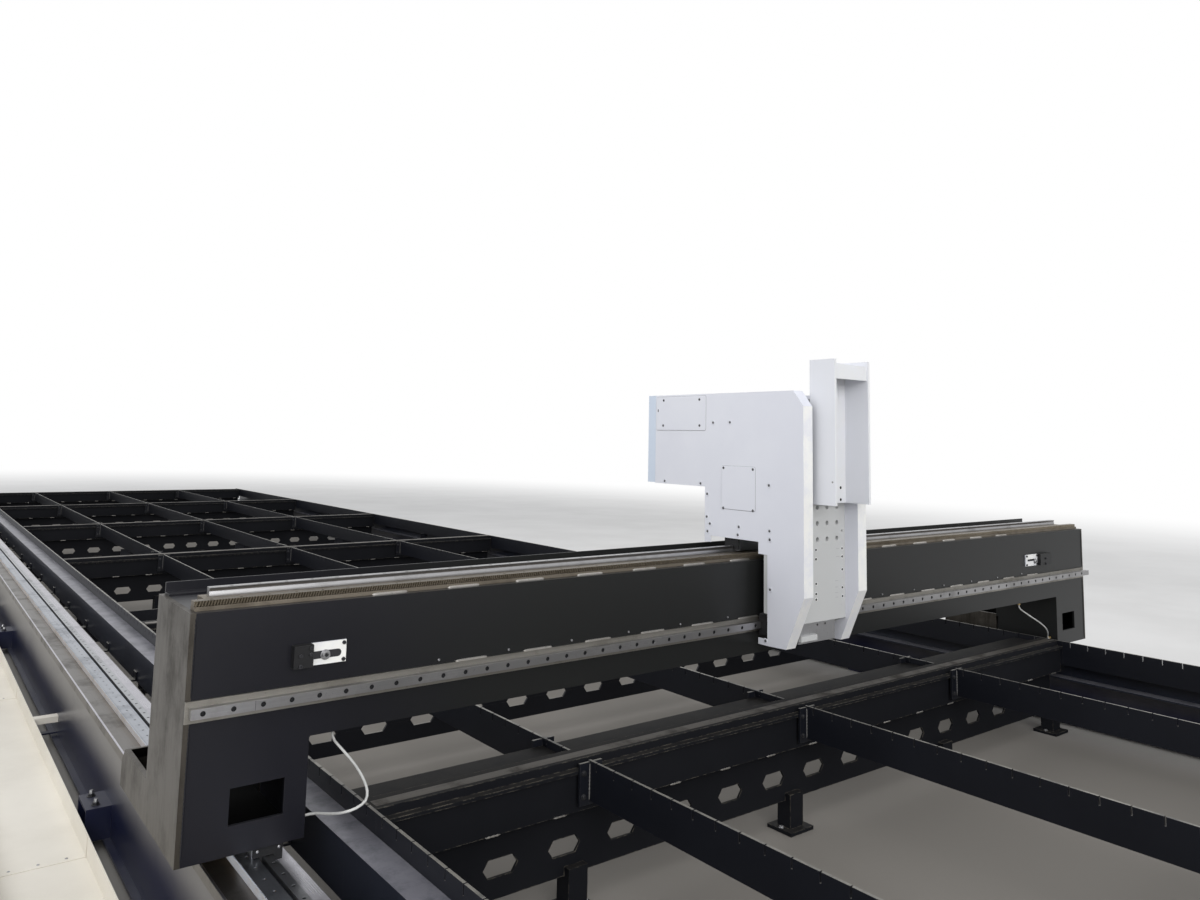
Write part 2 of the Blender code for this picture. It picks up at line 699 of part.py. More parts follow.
def bed():
    """Everything that stands still on the floor."""
    first = in_y(-BAYS_AHEAD * BAY_LENGTH)
    total = BAYS_AHEAD + BAYS_BEHIND
    for i in range(total + 1):
        cross_beam(i + 1, first + i * BAY_LENGTH)
    for i in range(total):
        table_frame(i + 1, first + i * BAY_LENGTH, i == total - 1)
    start = first - RAIL_OVERHANG
    end = first + total * BAY_LENGTH + RAIL_OVERHANG
    floor_rail(-1.0, "left", start, end)
    floor_rail(1.0, "right", start, end)
    cable_tray(start, end)


def gantry_beam(parent):
    """Portal weldment: hollow beam on two windowed legs, with the lubrication tubes' four round fittings."""
    tip = HALF_SPAN - END_PLATE - GAP
    leg = LEG_INNER
    portal = (
        (-tip, LEG_BOTTOM), (-leg, LEG_BOTTOM), (-leg, BEAM_BOTTOM), (leg, BEAM_BOTTOM), (leg, LEG_BOTTOM),
        (tip, LEG_BOTTOM), (tip, BEAM_TOP), (-tip, BEAM_TOP),
    )

    def body(mesh):
        add_prism(mesh, "y", [(in_x(a), b) for a, b in portal], in_y(FACE_Y), in_y(BACK_Y))

    def beam_hollow(mesh):
        add_box(mesh, (in_x(-HALF_SPAN), in_x(HALF_SPAN)), (in_y(FACE_Y + PLATE), in_y(BACK_Y - PLATE)),
                (BEAM_BOTTOM + PLATE, BEAM_TOP - PLATE))

    def leg_hollows(mesh):
        for side in (-1.0, 1.0):
            xs = bounds_of(in_x(side * HALF_SPAN), in_x(side * (leg + PLATE)))
            add_box(mesh, xs, (in_y(FACE_Y + PLATE), in_y(BACK_Y - PLATE)),
                    (LEG_BOTTOM - PLATE, BEAM_BOTTOM + 2 * PLATE))

    def back_cuts(mesh):
        for side in (-1.0, 1.0):
            xs = bounds_of(in_x(side * HALF_SPAN), in_x(side * (leg - PLATE)))
            add_box(mesh, xs, (in_y(BACK_Y - PLATE - GAP), in_y(BACK_Y + PLATE)),
                    (LEG_BOTTOM - PLATE, BACK_SKIRT))

    def leg_windows(mesh):
        for side in (-1.0, 1.0):
            outer = side * (HALF_SPAN - LEG_WINDOW_OUTER)
            xs = bounds_of(in_x(outer), in_x(outer - side * LEG_WINDOW_WIDTH))
            add_box(mesh, xs, (in_y(FACE_Y - PLATE), in_y(FACE_Y + 2 * PLATE)),
                    (LEG_WINDOW_BOTTOM, LEG_WINDOW_TOP))

    def floor_slots(mesh):
        for side in (-1.0, 1.0):
            xs = bounds_of(in_x(side * HALF_SPAN), in_x(side * (leg - PLATE)))
            add_box(mesh, xs, (in_y(FACE_Y + PLATE), in_y(BACK_Y + PLATE)),
                    (LEG_BOTTOM - PLATE, LEG_BOTTOM + TRUCK_FLOOR + GAP))

    def fittings(mesh):
        for points, side in ((LEFT_TUBE, -1.0), (RIGHT_TUBE, 1.0)):
            top, foot = points[0], points[-1]
            place = (in_x(side * (LEG_INNER - top[0])), in_y(top[1]))
            add_cylinder(mesh, "z", place, GLAND_RADIUS, BEAM_BOTTOM - GLAND_LENGTH, BEAM_BOTTOM + PLATE / 2.0)
            low, high = bounds_of(in_x(side * (leg + PLATE / 2.0)), in_x(side * (leg - GLAND_LENGTH)))
            add_cylinder(mesh, "x", (in_y(foot[1]), foot[2]), GLAND_RADIUS, low, high)

    piece("gantry_beam", parent, "beam_black", body, joins=(fittings,),
          cuts=(beam_hollow, leg_hollows, back_cuts, leg_windows, floor_slots))


def end_frame(parent, side, name):
    """Raw steel end frame: stepped side plate, base plate, inner cheek and far wall of the open truck."""
    outer = side * HALF_SPAN
    inner = side * (HALF_SPAN - END_PLATE)
    cheek = side * LEG_INNER
    step = TRUCK_FAR - TRUCK_CHAMFER_Y
    side_view = (
        (FACE_Y, LEG_BOTTOM), (TRUCK_FAR, LEG_BOTTOM), (TRUCK_FAR, TRUCK_TOP - TRUCK_CHAMFER_Z),
        (step, TRUCK_TOP), (BACK_Y, TRUCK_TOP), (BACK_Y, BEAM_TOP), (FACE_Y, BEAM_TOP),
    )

    def plate(mesh):
        xs = bounds_of(in_x(outer), in_x(inner))
        add_prism(mesh, "x", shift(side_view), xs[0], xs[1])

    def base(mesh):
        xs = bounds_of(in_x(outer - side * PLATE / 2.0), in_x(cheek))
        add_box(mesh, xs, (in_y(FACE_Y + PLATE + GAP), in_y(TRUCK_FAR)), (LEG_BOTTOM, LEG_BOTTOM + TRUCK_FLOOR))

    def walls(mesh):
        xs = bounds_of(in_x(cheek), in_x(cheek + side * PLATE))
        view = (
            (BACK_Y + GAP, LEG_BOTTOM + TRUCK_FLOOR / 2.0), (TRUCK_FAR, LEG_BOTTOM + TRUCK_FLOOR / 2.0),
            (TRUCK_FAR, TRUCK_TOP - TRUCK_CHAMFER_Z), (step, TRUCK_TOP), (BACK_Y + GAP, TRUCK_TOP),
        )
        add_prism(mesh, "x", shift(view), xs[0], xs[1])

    def far_wall(mesh):
        xs = bounds_of(in_x(outer - side * PLATE / 2.0), in_x(cheek + side * PLATE / 2.0))
        low = LEG_BOTTOM + TRUCK_FLOOR / 2.0
        view = (
            (TRUCK_FAR - PLATE, low), (TRUCK_FAR, low), (TRUCK_FAR, TRUCK_TOP - TRUCK_CHAMFER_Z),
            (step, TRUCK_TOP), (step - PLATE, TRUCK_TOP), (TRUCK_FAR - PLATE, TRUCK_TOP - TRUCK_CHAMFER_Z),
        )
        add_prism(mesh, "x", shift(view), xs[0], xs[1])

    piece(name + "_end_frame", parent, "raw_steel", plate, joins=(base, walls, far_wall))


def truck_block(parent, side, near, name):
    """Guide block that wraps the floor guide rail under a truck and reaches over the rack beside it."""
    low = SEAT_TOP + BLOCK_LIFT
    high = LEG_BOTTOM - GAP
    half = BLOCK_WIDTH / 2.0
    slot = GUIDE_WIDTH / 2.0 + BLOCK_SIDE_GAP
    roof = SEAT_TOP + GUIDE_HEIGHT + BLOCK_SIDE_GAP
    rack = RACK_OUTER - RACK_WIDTH - BLOCK_SIDE_GAP
    shelf = SEAT_TOP + RACK_HEIGHT + BLOCK_SIDE_GAP
    view = (
        (GUIDE_CENTRE - half, low), (GUIDE_CENTRE - slot, low), (GUIDE_CENTRE - slot, roof),
        (GUIDE_CENTRE + slot, roof), (GUIDE_CENTRE + slot, low), (rack, low), (rack, shelf),
        (GUIDE_CENTRE + half, shelf), (GUIDE_CENTRE + half, high), (GUIDE_CENTRE - half, high),
    )
    profile = [(side * a, b) for a, b in view]

    def fill(mesh):
        add_prism(mesh, "y", [(in_x(a), b) for a, b in profile], in_y(near), in_y(near + BLOCK_LENGTH))

    piece(name, parent, "machined_steel", fill)


def guide_ways(parent):
    """Machined pads, linear guide rails, rack and cable upstand on the gantry beam."""
    def bar(xs, ys, zs):
        def fill(mesh):
            add_box(mesh, (in_x(xs[0]), in_x(xs[1])), (in_y(ys[0]), in_y(ys[1])), zs)
        return fill

    piece("front_rail_pad", parent, "raw_steel",
          bar((-HALF_SPAN + GAP, HALF_SPAN - PAD_INSET), (PAD_Y, FACE_Y - GAP),
              (RAIL_Z - PAD_HALF, RAIL_Z + PAD_HALF)))
    piece("front_guide_rail", parent, "machined_steel",
          bar((-HALF_SPAN + FRONT_RAIL_INSET, HALF_SPAN + FRONT_RAIL_STICK_OUT), (FRONT_RAIL_Y, PAD_Y - GAP),
              (RAIL_Z - FRONT_RAIL_HALF, RAIL_Z + FRONT_RAIL_HALF)))
    tip = HALF_SPAN - END_PLATE - 2 * GAP
    piece("top_rack_pad", parent, "raw_steel",
          bar((-tip, tip), (TOP_RACK_PAD_NEAR, TOP_RACK_PAD_FAR), (BEAM_TOP + GAP, TOP_RACK_PAD_TOP)))
    piece("top_rack", parent, "machined_steel",
          bar((-tip, tip), (TOP_RACK_PAD_NEAR + TOP_RACK_INSET, TOP_RACK_PAD_FAR - TOP_RACK_INSET),
              (TOP_RACK_PAD_TOP + GAP, TOP_RACK_TOP)))
    piece("top_rail_pad", parent, "raw_steel",
          bar((-HALF_SPAN + TOP_PAD_END, HALF_SPAN - TOP_PAD_END), (TOP_PAD_NEAR, TOP_PAD_FAR),
              (BEAM_TOP + GAP, TOP_PAD_TOP)))
    middle = (TOP_PAD_NEAR + TOP_PAD_FAR) / 2.0
    piece("top_guide_rail", parent, "machined_steel",
          bar((-HALF_SPAN + TOP_RAIL_END, HALF_SPAN - TOP_RAIL_END),
              (middle - FRONT_RAIL_HALF, middle + FRONT_RAIL_HALF), (TOP_PAD_TOP + GAP, TOP_RAIL_TOP)))
    profile = (
        (UPSTAND_NEAR, BEAM_TOP + GAP), (UPSTAND_FAR, BEAM_TOP + GAP), (UPSTAND_FAR, UPSTAND_TOP),
        (UPSTAND_FAR - UPSTAND_WALL, UPSTAND_TOP), (UPSTAND_FAR - UPSTAND_WALL, BEAM_TOP + UPSTAND_WALL),
        (UPSTAND_NEAR, BEAM_TOP + UPSTAND_WALL),
    )

    def upstand(mesh):
        add_prism(mesh, "x", shift(profile), in_x(-tip), in_x(tip))

    piece("rear_upstand", parent, "beam_black", upstand)


def travel_stop(parent, side, insets, name):
    """Slotted white stop plate with its black block on the gantry's front face."""
    block_end, joint, plate_end = (side * (HALF_SPAN - inset) for inset in insets)
    face = in_y(FACE_Y - GAP)
    xs = bounds_of(in_x(joint), in_x(plate_end))
    toward = -1.0 if plate_end < joint else 1.0

    def plate(mesh):
        add_box(mesh, xs, (face - STOP_PLATE, face), (STOP_BOTTOM, STOP_TOP))

    def slot(mesh):
        middle = (STOP_BOTTOM + STOP_TOP) / 2.0
        add_box(mesh, (xs[0] + STOP_SLOT_END, xs[1] - STOP_SLOT_END), (face - 2 * STOP_PLATE, face + STOP_PLATE),
                (middle - STOP_SLOT_HALF, middle + STOP_SLOT_HALF))

    def block(mesh):
        edge = in_x(joint) - toward * GAP
        add_box(mesh, bounds_of(in_x(block_end), edge), (face - STOP_BLOCK, face), (STOP_BOTTOM, STOP_TOP))

    piece(name + "_stop_plate", parent, "cover_white", plate, cuts=(slot,))
    piece(name + "_stop_block", parent, "block_black", block)


def smooth_route(points, count):
    """Read a smooth curve through hand-chosen points at even steps (Catmull-Rom)."""
    ends = [points[0]] + list(points) + [points[-1]]
    fine = []
    for i in range(1, len(ends) - 2):
        a, b, c, d = (Vector(p) for p in ends[i - 1:i + 3])
        for step in range(20):
            t = step / 20.0
            fine.append(0.5 * ((2 * b) + (c - a) * t + (2 * a - 5 * b + 4 * c - d) * t * t
                               + (3 * b - a - 3 * c + d) * t * t * t))
    fine.append(Vector(points[-1]))
    lengths = [0.0]
    for one, two in zip(fine[:-1], fine[1:]):
        lengths.append(lengths[-1] + (two - one).length)
    route = []
    k = 0
    for i in range(count):
        want = lengths[-1] * i / (count - 1)
        while k < len(lengths) - 2 and lengths[k + 1] < want:
            k += 1
        share = (want - lengths[k]) / max(lengths[k + 1] - lengths[k], GAP / 100.0)
        route.append(fine[k].lerp(fine[k + 1], min(1.0, max(0.0, share))))
    return route


def tube(parent, side, points, name):
    """Round lubrication tube along a smooth route, with closed ends."""
    curve = bpy.data.curves.new(name, "CURVE")
    curve.dimensions = "3D"
    curve.bevel_depth = TUBE_RADIUS
    curve.bevel_resolution = 2
    curve.use_fill_caps = True
    spline = curve.splines.new("POLY")
    route = smooth_route([(in_x(side * (LEG_INNER - x)), in_y(y), z) for x, y, z in points], TUBE_POINTS)
    spline.points.add(len(route) - 1)
    for point, place in zip(spline.points, route):
        point.co = (*place, 1.0)
    drawn = bpy.data.objects.new(name + "_curve", curve)
    bpy.context.collection.objects.link(drawn)
    graph = bpy.context.evaluated_depsgraph_get()
    data = bpy.data.meshes.new_from_object(drawn.evaluated_get(graph))
    bpy.data.objects.remove(drawn, do_unlink=True)
    mesh = bmesh.new()
    mesh.from_mesh(data)
    bmesh.ops.remove_doubles(mesh, verts=mesh.verts, dist=GAP / 30.0)
    bmesh.ops.recalc_face_normals(mesh, faces=mesh.faces)
    mesh.to_mesh(data)
    mesh.free()
    item = bpy.data.objects.new(name, data)
    bpy.context.collection.objects.link(item)
    settle(item, parent, "tube_white")


def gantry():
    """The travelling gantry on its own axis empty."""
    axis = axis_empty("gantry_axis", (in_x(0.0), in_y(0.0), SEAT_TOP))
    gantry_beam(axis)
    for side, name in ((-1.0, "left"), (1.0, "right")):
        end_frame(axis, side, name)
        truck_block(axis, side, BLOCK_FRONT_Y, name + "_front_truck_block")
        truck_block(axis, side, BLOCK_REAR_Y, name + "_rear_truck_block")
    guide_ways(axis)
    travel_stop(axis, -1.0, STOP_LEFT_INSETS, "left")
    travel_stop(axis, 1.0, STOP_RIGHT_INSETS, "right")
    tube(axis, -1.0, LEFT_TUBE, "left_lube_tube")
    tube(axis, 1.0, RIGHT_TUBE, "right_lube_tube")
    return axis


def offset_line(points, distance):
    """Move an open line of outline points to its right by a distance, with mitred corners."""
    moved = []
    for i, point in enumerate(points):
        here = Vector(point)
        before = (here - Vector(points[i - 1])).normalized() if i else None
        after = (Vector(points[i + 1]) - here).normalized() if i < len(points) - 1 else None
        one = before or after
        two = after or before
        normal = (Vector((one.y, -one.x)) + Vector((two.y, -two.x))).normalized()
        stretch = distance / normal.dot(Vector((one.y, -one.x)))
        moved.append(tuple(here + normal * stretch))
    return moved


def side_cover(parent, plane, name):
    """White side cover: one folded sheet with a flange along its chamfered front edge."""
    def sheet(mesh):
        add_prism(mesh, "x", shift(COVER_OUTLINE), in_x(plane), in_x(plane + SHEET))

    def flange(mesh):
        front = list(COVER_OUTLINE[:COVER_FLANGE_POINTS])
        inner = offset_line(front, SHEET)
        add_prism(mesh, "x", shift(front + inner[::-1]), in_x(plane), in_x(plane + COVER_FLANGE))

    piece(name, parent, "cover_white", sheet, joins=(flange,))


def back_cover(parent):
    """White back cover: a folded channel whose side flanges close the gap behind the side covers."""
    left, right = in_x(CARRIAGE_LEFT), in_x(CARRIAGE_RIGHT + SHEET)
    near, far = in_y(BACK_COVER_NEAR), in_y(BACK_COVER_FAR)
    cut = BACK_COVER_CHAMFER
    inner = cut - SHEET / 2.0
    outline = (
        (left, near), (left, far - cut), (left + cut, far), (right - cut, far), (right, far - cut), (right, near),
        (right - SHEET, near), (right - SHEET, far - SHEET - inner), (right - SHEET - inner, far - SHEET),
        (left + SHEET + inner, far - SHEET), (left + SHEET, far - SHEET - inner), (left + SHEET, near),
    )

    def fill(mesh):
        add_prism(mesh, "z", outline, BACK_COVER_BOTTOM, COVER_TOP)

    piece("back_cover", parent, "cover_white", fill)


def access_plate(parent, ys, zs, name):
    """Flat screwed access plate with clipped corners on the left cover."""
    c = ACCESS_CORNER
    outline = (
        (ys[0] + c, zs[0]), (ys[1] - c, zs[0]), (ys[1], zs[0] + c), (ys[1], zs[1] - c), (ys[1] - c, zs[1]),
        (ys[0] + c, zs[1]), (ys[0], zs[1] - c), (ys[0], zs[0] + c),
    )

    def fill(mesh):
        face = in_x(CARRIAGE_LEFT - GAP)
        add_prism(mesh, "x", shift(outline), face - ACCESS_THICKNESS, face)

    piece(name, parent, "cover_white", fill)


def carriage_body(parent):
    """Grey carriage body: drilled face plate, two ribs, back plate with spacer, and arm over the beam."""
    left = in_x(CARRIAGE_LEFT + SHEET + GAP)
    right = in_x(CARRIAGE_RIGHT - GAP)
    face_back = FACE_PLATE_Y + FACE_PLATE_THICKNESS

    def face(mesh):
        add_box(mesh, (left, right), (in_y(FACE_PLATE_Y), in_y(face_back)), (FACE_PLATE_BOTTOM, FACE_PLATE_TOP))

    def ribs(mesh):
        sunk = FACE_PLATE_Y + FACE_PLATE_THICKNESS / 2.0
        view = (
            (sunk, FACE_PLATE_BOTTOM), (BACK_PLATE_NEAR + PLATE, BACK_PLATE_BOTTOM + PLATE),
            (BACK_PLATE_NEAR + PLATE, ARM_TOP - PLATE), (ARM_FAR - GAP, ARM_TOP - PLATE),
            (ARM_FAR - GAP, REAR_RIB_TOP), (ARM_FAR - PLATE, REAR_RIB_TOP),
            (RIB_TOP_Y, FACE_PLATE_TOP - PLATE), (sunk, FACE_PLATE_TOP - PLATE),
        )
        for low in (left + GAP, right - GAP - RIB_THICKNESS):
            add_prism(mesh, "x", shift(view), low, low + RIB_THICKNESS)

    def back(mesh):
        add_box(mesh, (left, right), (in_y(BACK_PLATE_NEAR), in_y(BACK_PLATE_FAR)),
                (BACK_PLATE_BOTTOM, ARM_TOP - GAP))

    def spacer(mesh):
        add_box(mesh, (left, right), (in_y(BACK_PLATE_FAR - PLATE), in_y(SPACER_FAR)), (SPACER_BOTTOM, SPACER_TOP))

    def arm(mesh):
        add_box(mesh, (left, right), (in_y(BACK_PLATE_NEAR + GAP), in_y(ARM_FAR)), (ARM_BOTTOM, ARM_TOP))

    def drills(mesh):
        depth = (in_y(FACE_PLATE_Y - PLATE), in_y(face_back + PLATE / 2.0))
        for x in BIG_HOLE_X:
            for z in BIG_HOLE_Z:
                add_cylinder(mesh, "y", (in_x(x), z), BIG_HOLE_RADIUS, depth[0], depth[1], 10)
        for x in SMALL_HOLE_X:
            for z in SMALL_HOLE_Z:
                add_cylinder(mesh, "y", (in_x(x), z), SMALL_HOLE_RADIUS, depth[0], in_y(face_back - PLATE / 2.0), 6)

    piece("carriage_body", parent, "plate_grey", face, joins=(ribs, back, spacer, arm), cuts=(drills,))


def lower_plate(parent):
    """Bare steel lower plate with two holes, and the grey bar on its front."""
    def plate(mesh):
        add_box(mesh, (in_x(LOWER_PLATE_X[0]), in_x(LOWER_PLATE_X[1])),
                (in_y(LOWER_PLATE_Y[0]), in_y(LOWER_PLATE_Y[1])), (LOWER_PLATE_Z[0], LOWER_PLATE_Z[1]))

    def lug(mesh):
        add_box(mesh, (in_x(LOWER_LUG_X[0]), in_x(LOWER_LUG_X[1])),
                (in_y(LOWER_PLATE_Y[1] - PLATE / 2.0), in_y(BACK_PLATE_NEAR - GAP)),
                (LOWER_PLATE_Z[0] + PLATE, LOWER_PLATE_Z[0] + 3 * PLATE))

    def drills(mesh):
        for x in LOWER_HOLE_X:
            add_cylinder(mesh, "y", (in_x(x), LOWER_HOLE_Z), SMALL_HOLE_RADIUS, in_y(LOWER_PLATE_Y[0] - PLATE),
                         in_y(LOWER_PLATE_Y[1] + PLATE))

    def bar(mesh):
        add_box(mesh, (in_x(GREY_BAR_X[0]), in_x(GREY_BAR_X[1])), (in_y(GREY_BAR_Y[0]), in_y(GREY_BAR_Y[1])),
                GREY_BAR_Z)

    piece("lower_plate", parent, "raw_steel", plate, joins=(lug,), cuts=(drills,))
    piece("lower_bar", parent, "plate_grey", bar)


def carriage_blocks(parent):
    """Guide blocks on the gantry's front rail and top rail."""
    slot = FRONT_RAIL_HALF + BLOCK_SIDE_GAP
    near = BACK_PLATE_FAR + GAP
    far = PAD_Y - FRONT_BLOCK_CLEAR
    roof = FRONT_RAIL_Y - BLOCK_SIDE_GAP
    front = (
        (near, RAIL_Z - FRONT_BLOCK_HALF), (far, RAIL_Z - FRONT_BLOCK_HALF), (far, RAIL_Z - slot),
        (roof, RAIL_Z - slot), (roof, RAIL_Z + slot), (far, RAIL_Z + slot), (far, RAIL_Z + FRONT_BLOCK_HALF),
        (near, RAIL_Z + FRONT_BLOCK_HALF),
    )
    middle = (TOP_PAD_NEAR + TOP_PAD_FAR) / 2.0
    low = TOP_PAD_TOP + FRONT_BLOCK_CLEAR
    high = ARM_BOTTOM - GAP
    cap = TOP_RAIL_TOP + BLOCK_SIDE_GAP
    top = (
        (middle - TOP_BLOCK_HALF, low), (middle - slot, low), (middle - slot, cap), (middle + slot, cap),
        (middle + slot, low), (middle + TOP_BLOCK_HALF, low), (middle + TOP_BLOCK_HALF, high),
        (middle - TOP_BLOCK_HALF, high),
    )
    for view, label in ((front, "front"), (top, "top")):
        for xs, side in zip(FRONT_BLOCK_X, ("left", "right")):
            def fill(mesh, outline=view, ends=xs):
                add_prism(mesh, "x", shift(outline), in_x(ends[0]), in_x(ends[1]))

            piece("%s_%s_carriage_block" % (side, label), parent, "machined_steel", fill)


def carriage(gantry_axis):
    """The cross-travelling carriage on its own axis empty."""
    middle = (CARRIAGE_LEFT + CARRIAGE_RIGHT) / 2.0
    axis = axis_empty("carriage_axis", (in_x(middle), in_y(0.0), RAIL_Z), gantry_axis)
    carriage_body(axis)
    lower_plate(axis)
    carriage_blocks(axis)
    side_cover(axis, CARRIAGE_LEFT, "left_cover")
    side_cover(axis, CARRIAGE_RIGHT, "right_cover")
    back_cover(axis)
    access_plate(axis, ACCESS_UPPER_Y, ACCESS_UPPER_Z, "upper_access_plate")
    access_plate(axis, ACCESS_LOWER_Y, ACCESS_LOWER_Z, "lower_access_plate")
    for x, side in zip(RAM_RAIL_X, ("left", "right")):
        ram_block(axis, x, side + "_ram_block")
    return axis


def ram_block(parent, x, name):
    """Long guide block on the carriage face plate that wraps one ram rail."""
    near = RAM_BACK + RAM_BLOCK_CLEAR
    far = FACE_PLATE_Y - GAP
    slot = RAM_RAIL_HALF + BLOCK_SIDE_GAP
    roof = RAM_BACK + RAM_RAIL_DEPTH + BLOCK_SIDE_GAP
    outline = (
        (x - RAM_BLOCK_HALF, near), (x - slot, near), (x - slot, roof), (x + slot, roof), (x + slot, near),
        (x + RAM_BLOCK_HALF, near), (x + RAM_BLOCK_HALF, far), (x - RAM_BLOCK_HALF, far),
    )

    def fill(mesh):
        add_prism(mesh, "z", [(in_x(a), in_y(b)) for a, b in outline], RAM_BLOCK_Z[0], RAM_BLOCK_Z[1])

    piece(name, parent, "machined_steel", fill)


def ram(carriage_axis):
    """White open-fronted ram with its two guide rails, on the vertical slide's empty."""
    middle = (RAM_LEFT + RAM_RIGHT) / 2.0
    axis = axis_empty("ram_axis", (in_x(middle), in_y(RAM_BACK), RAM_BOTTOM), carriage_axis)
    left, right = in_x(RAM_LEFT), in_x(RAM_RIGHT)
    front, back = in_y(RAM_FRONT), in_y(RAM_BACK)
    outline = (
        (left, front), (left + RAM_WALL, front), (left + RAM_WALL, back - RAM_BACK_WALL),
        (right - RAM_WALL, back - RAM_BACK_WALL), (right - RAM_WALL, front), (right, front), (right, back),
        (left, back),
    )

    def channel(mesh):
        add_prism(mesh, "z", outline, RAM_BOTTOM, RAM_TOP)

    def top(mesh):
        add_box(mesh, (left + RAM_WALL / 2.0, right - RAM_WALL / 2.0),
                (front + RAM_LIP_INSET + GAP, back - RAM_BACK_WALL / 2.0),
                (RAM_LIP_TOP - RAM_TOP_PLATE, RAM_LIP_TOP - GAP))

    def lip(mesh):
        add_box(mesh, (left + RAM_WALL / 3.0, right - RAM_WALL / 3.0),
                (front + RAM_LIP_INSET, front + RAM_LIP_INSET + RAM_LIP_THICKNESS), (RAM_LIP_BOTTOM, RAM_LIP_TOP))

    def strip(mesh):
        add_box(mesh, (left + RAM_WALL / 2.0, left + RAM_WALL + RAM_STRIP_WIDTH),
                (back - RAM_BACK_WALL - RAM_STRIP_DEPTH, back - RAM_BACK_WALL / 2.0),
                (RAM_BOTTOM + GAP, RAM_LIP_BOTTOM))

    def drills(mesh):
        for z in RAM_HOLE_Z:
            add_cylinder(mesh, "y", (in_x(RAM_HOLE_X), z), RAM_HOLE_RADIUS, back - 2 * RAM_BACK_WALL,
                         back - RAM_STRIP_DEPTH, 12)

    piece("ram_channel", axis, "cover_white", channel, joins=(top, lip, strip), cuts=(drills,))
    for x, side in zip(RAM_RAIL_X, ("left", "right")):
        def rail(mesh, at=x):
            add_box(mesh, (in_x(at - RAM_RAIL_HALF), in_x(at + RAM_RAIL_HALF)),
                    (back + GAP, back + RAM_RAIL_DEPTH), (RAM_BOTTOM + RAM_RAIL_END, RAM_TOP - RAM_RAIL_END))

        piece(side + "_ram_rail", axis, "machined_steel", rail)


def main():
    clear_scene()
    bed()
    gantry_axis = gantry()
    carriage_axis = carriage(gantry_axis)
    ram(carriage_axis)


main()
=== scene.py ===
"""Looks of a floor-rail gantry laser cutting machine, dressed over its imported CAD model.

Everything is in metres in the model's own frame: X across the machine, Y along the floor rails, Z up.
"""
from __future__ import annotations

import json
import logging
import math
from dataclasses import dataclass
from enum import Enum
from typing import Iterable, Sequence

import bpy
import numpy as np
from mathutils import Matrix, Vector


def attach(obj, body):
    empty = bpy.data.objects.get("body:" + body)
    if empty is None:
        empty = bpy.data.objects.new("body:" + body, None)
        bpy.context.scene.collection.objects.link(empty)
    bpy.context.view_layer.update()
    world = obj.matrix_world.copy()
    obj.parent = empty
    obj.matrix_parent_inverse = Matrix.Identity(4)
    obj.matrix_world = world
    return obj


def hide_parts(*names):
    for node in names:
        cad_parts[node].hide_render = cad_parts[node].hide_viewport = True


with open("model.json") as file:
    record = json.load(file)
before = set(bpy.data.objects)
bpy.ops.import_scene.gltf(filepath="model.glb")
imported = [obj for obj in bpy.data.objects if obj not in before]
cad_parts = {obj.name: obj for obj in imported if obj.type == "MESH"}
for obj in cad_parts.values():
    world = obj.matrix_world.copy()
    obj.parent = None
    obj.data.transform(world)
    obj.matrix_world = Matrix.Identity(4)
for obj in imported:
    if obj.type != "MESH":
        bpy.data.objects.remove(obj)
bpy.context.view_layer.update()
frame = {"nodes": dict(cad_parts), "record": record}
LOG = logging.getLogger("scene")
NODES = frame["nodes"]
CENTRE = np.array((0.144, -6.28, 0.0))
UP, AHEAD, RIGHTWARD = np.eye(3)[2], np.eye(3)[1], np.eye(3)[0]
WHITE = (1.0, 1.0, 1.0, 1.0)
FLOAT = "NodeSocketFloat"
HOLE_PITCH = 0.080
BEVEL_SAMPLES = 4
SMOOTH_ANGLE = 38.0
BEVEL_ANGLE = 40.0


class Axis(Enum):
    """The axis that an outline is pushed along, with the two axes that the outline lies on."""

    X = (0, 1, 2)
    Y = (1, 0, 2)
    Z = (2, 0, 1)


class Side(Enum):
    """The two sides of the machine, as the sign of X."""

    LEFT = -1.0
    RIGHT = 1.0

    def span(self, near: float, far: float) -> tuple[float, float]:
        """Give two distances from the middle plane as the low and high X on this side."""
        low, high = sorted((self.value * near, self.value * far))
        return low, high


class Body(Enum):
    """The rigid bodies of the model."""

    BED = "bed"
    GANTRY = "gantry"
    CARRIAGE = "carriage"
    RAM = "ram"


class Slot(Enum):
    """The material slots of the record."""

    TABLE = "table_navy"
    RAIL = "rail_navy"
    TRAY = "tray_cream"
    BEAM = "beam_black"
    RAW = "raw_steel"
    COVER = "cover_white"
    BLOCK = "block_black"
    TUBE = "tube_white"
    GREY = "plate_grey"
    MACHINED = "machined_steel"


@dataclass
class Form:
    """A mesh in the making: points, and groups of faces that have the same number of corners."""

    points: np.ndarray
    faces: list[np.ndarray]

    def __add__(self, other: "Form") -> "Form":
        """Put two forms side by side in one."""
        shifted = [group + len(self.points) for group in other.faces]
        return Form(np.vstack((self.points, other.points)), self.faces + shifted)

    def repeated(self, offsets: np.ndarray) -> "Form":
        """Copy the form to every offset: point = point of the form + offset.

        Args:
            offsets: One row of x, y, z for each copy.

        Returns:
            One form that holds all the copies.
        """
        offsets = np.atleast_2d(offsets)
        points = (self.points[None] + offsets[:, None]).reshape(-1, 3)
        steps = np.arange(len(offsets)) * len(self.points)
        faces = [(group[None] + steps[:, None, None]).reshape(-1, group.shape[1]) for group in self.faces]
        return Form(points, faces)


def merged(forms: Iterable[Form]) -> Form:
    """Put several forms in one."""
    forms = list(forms)
    total = forms[0]
    for form in forms[1:]:
        total = total + form
    return total


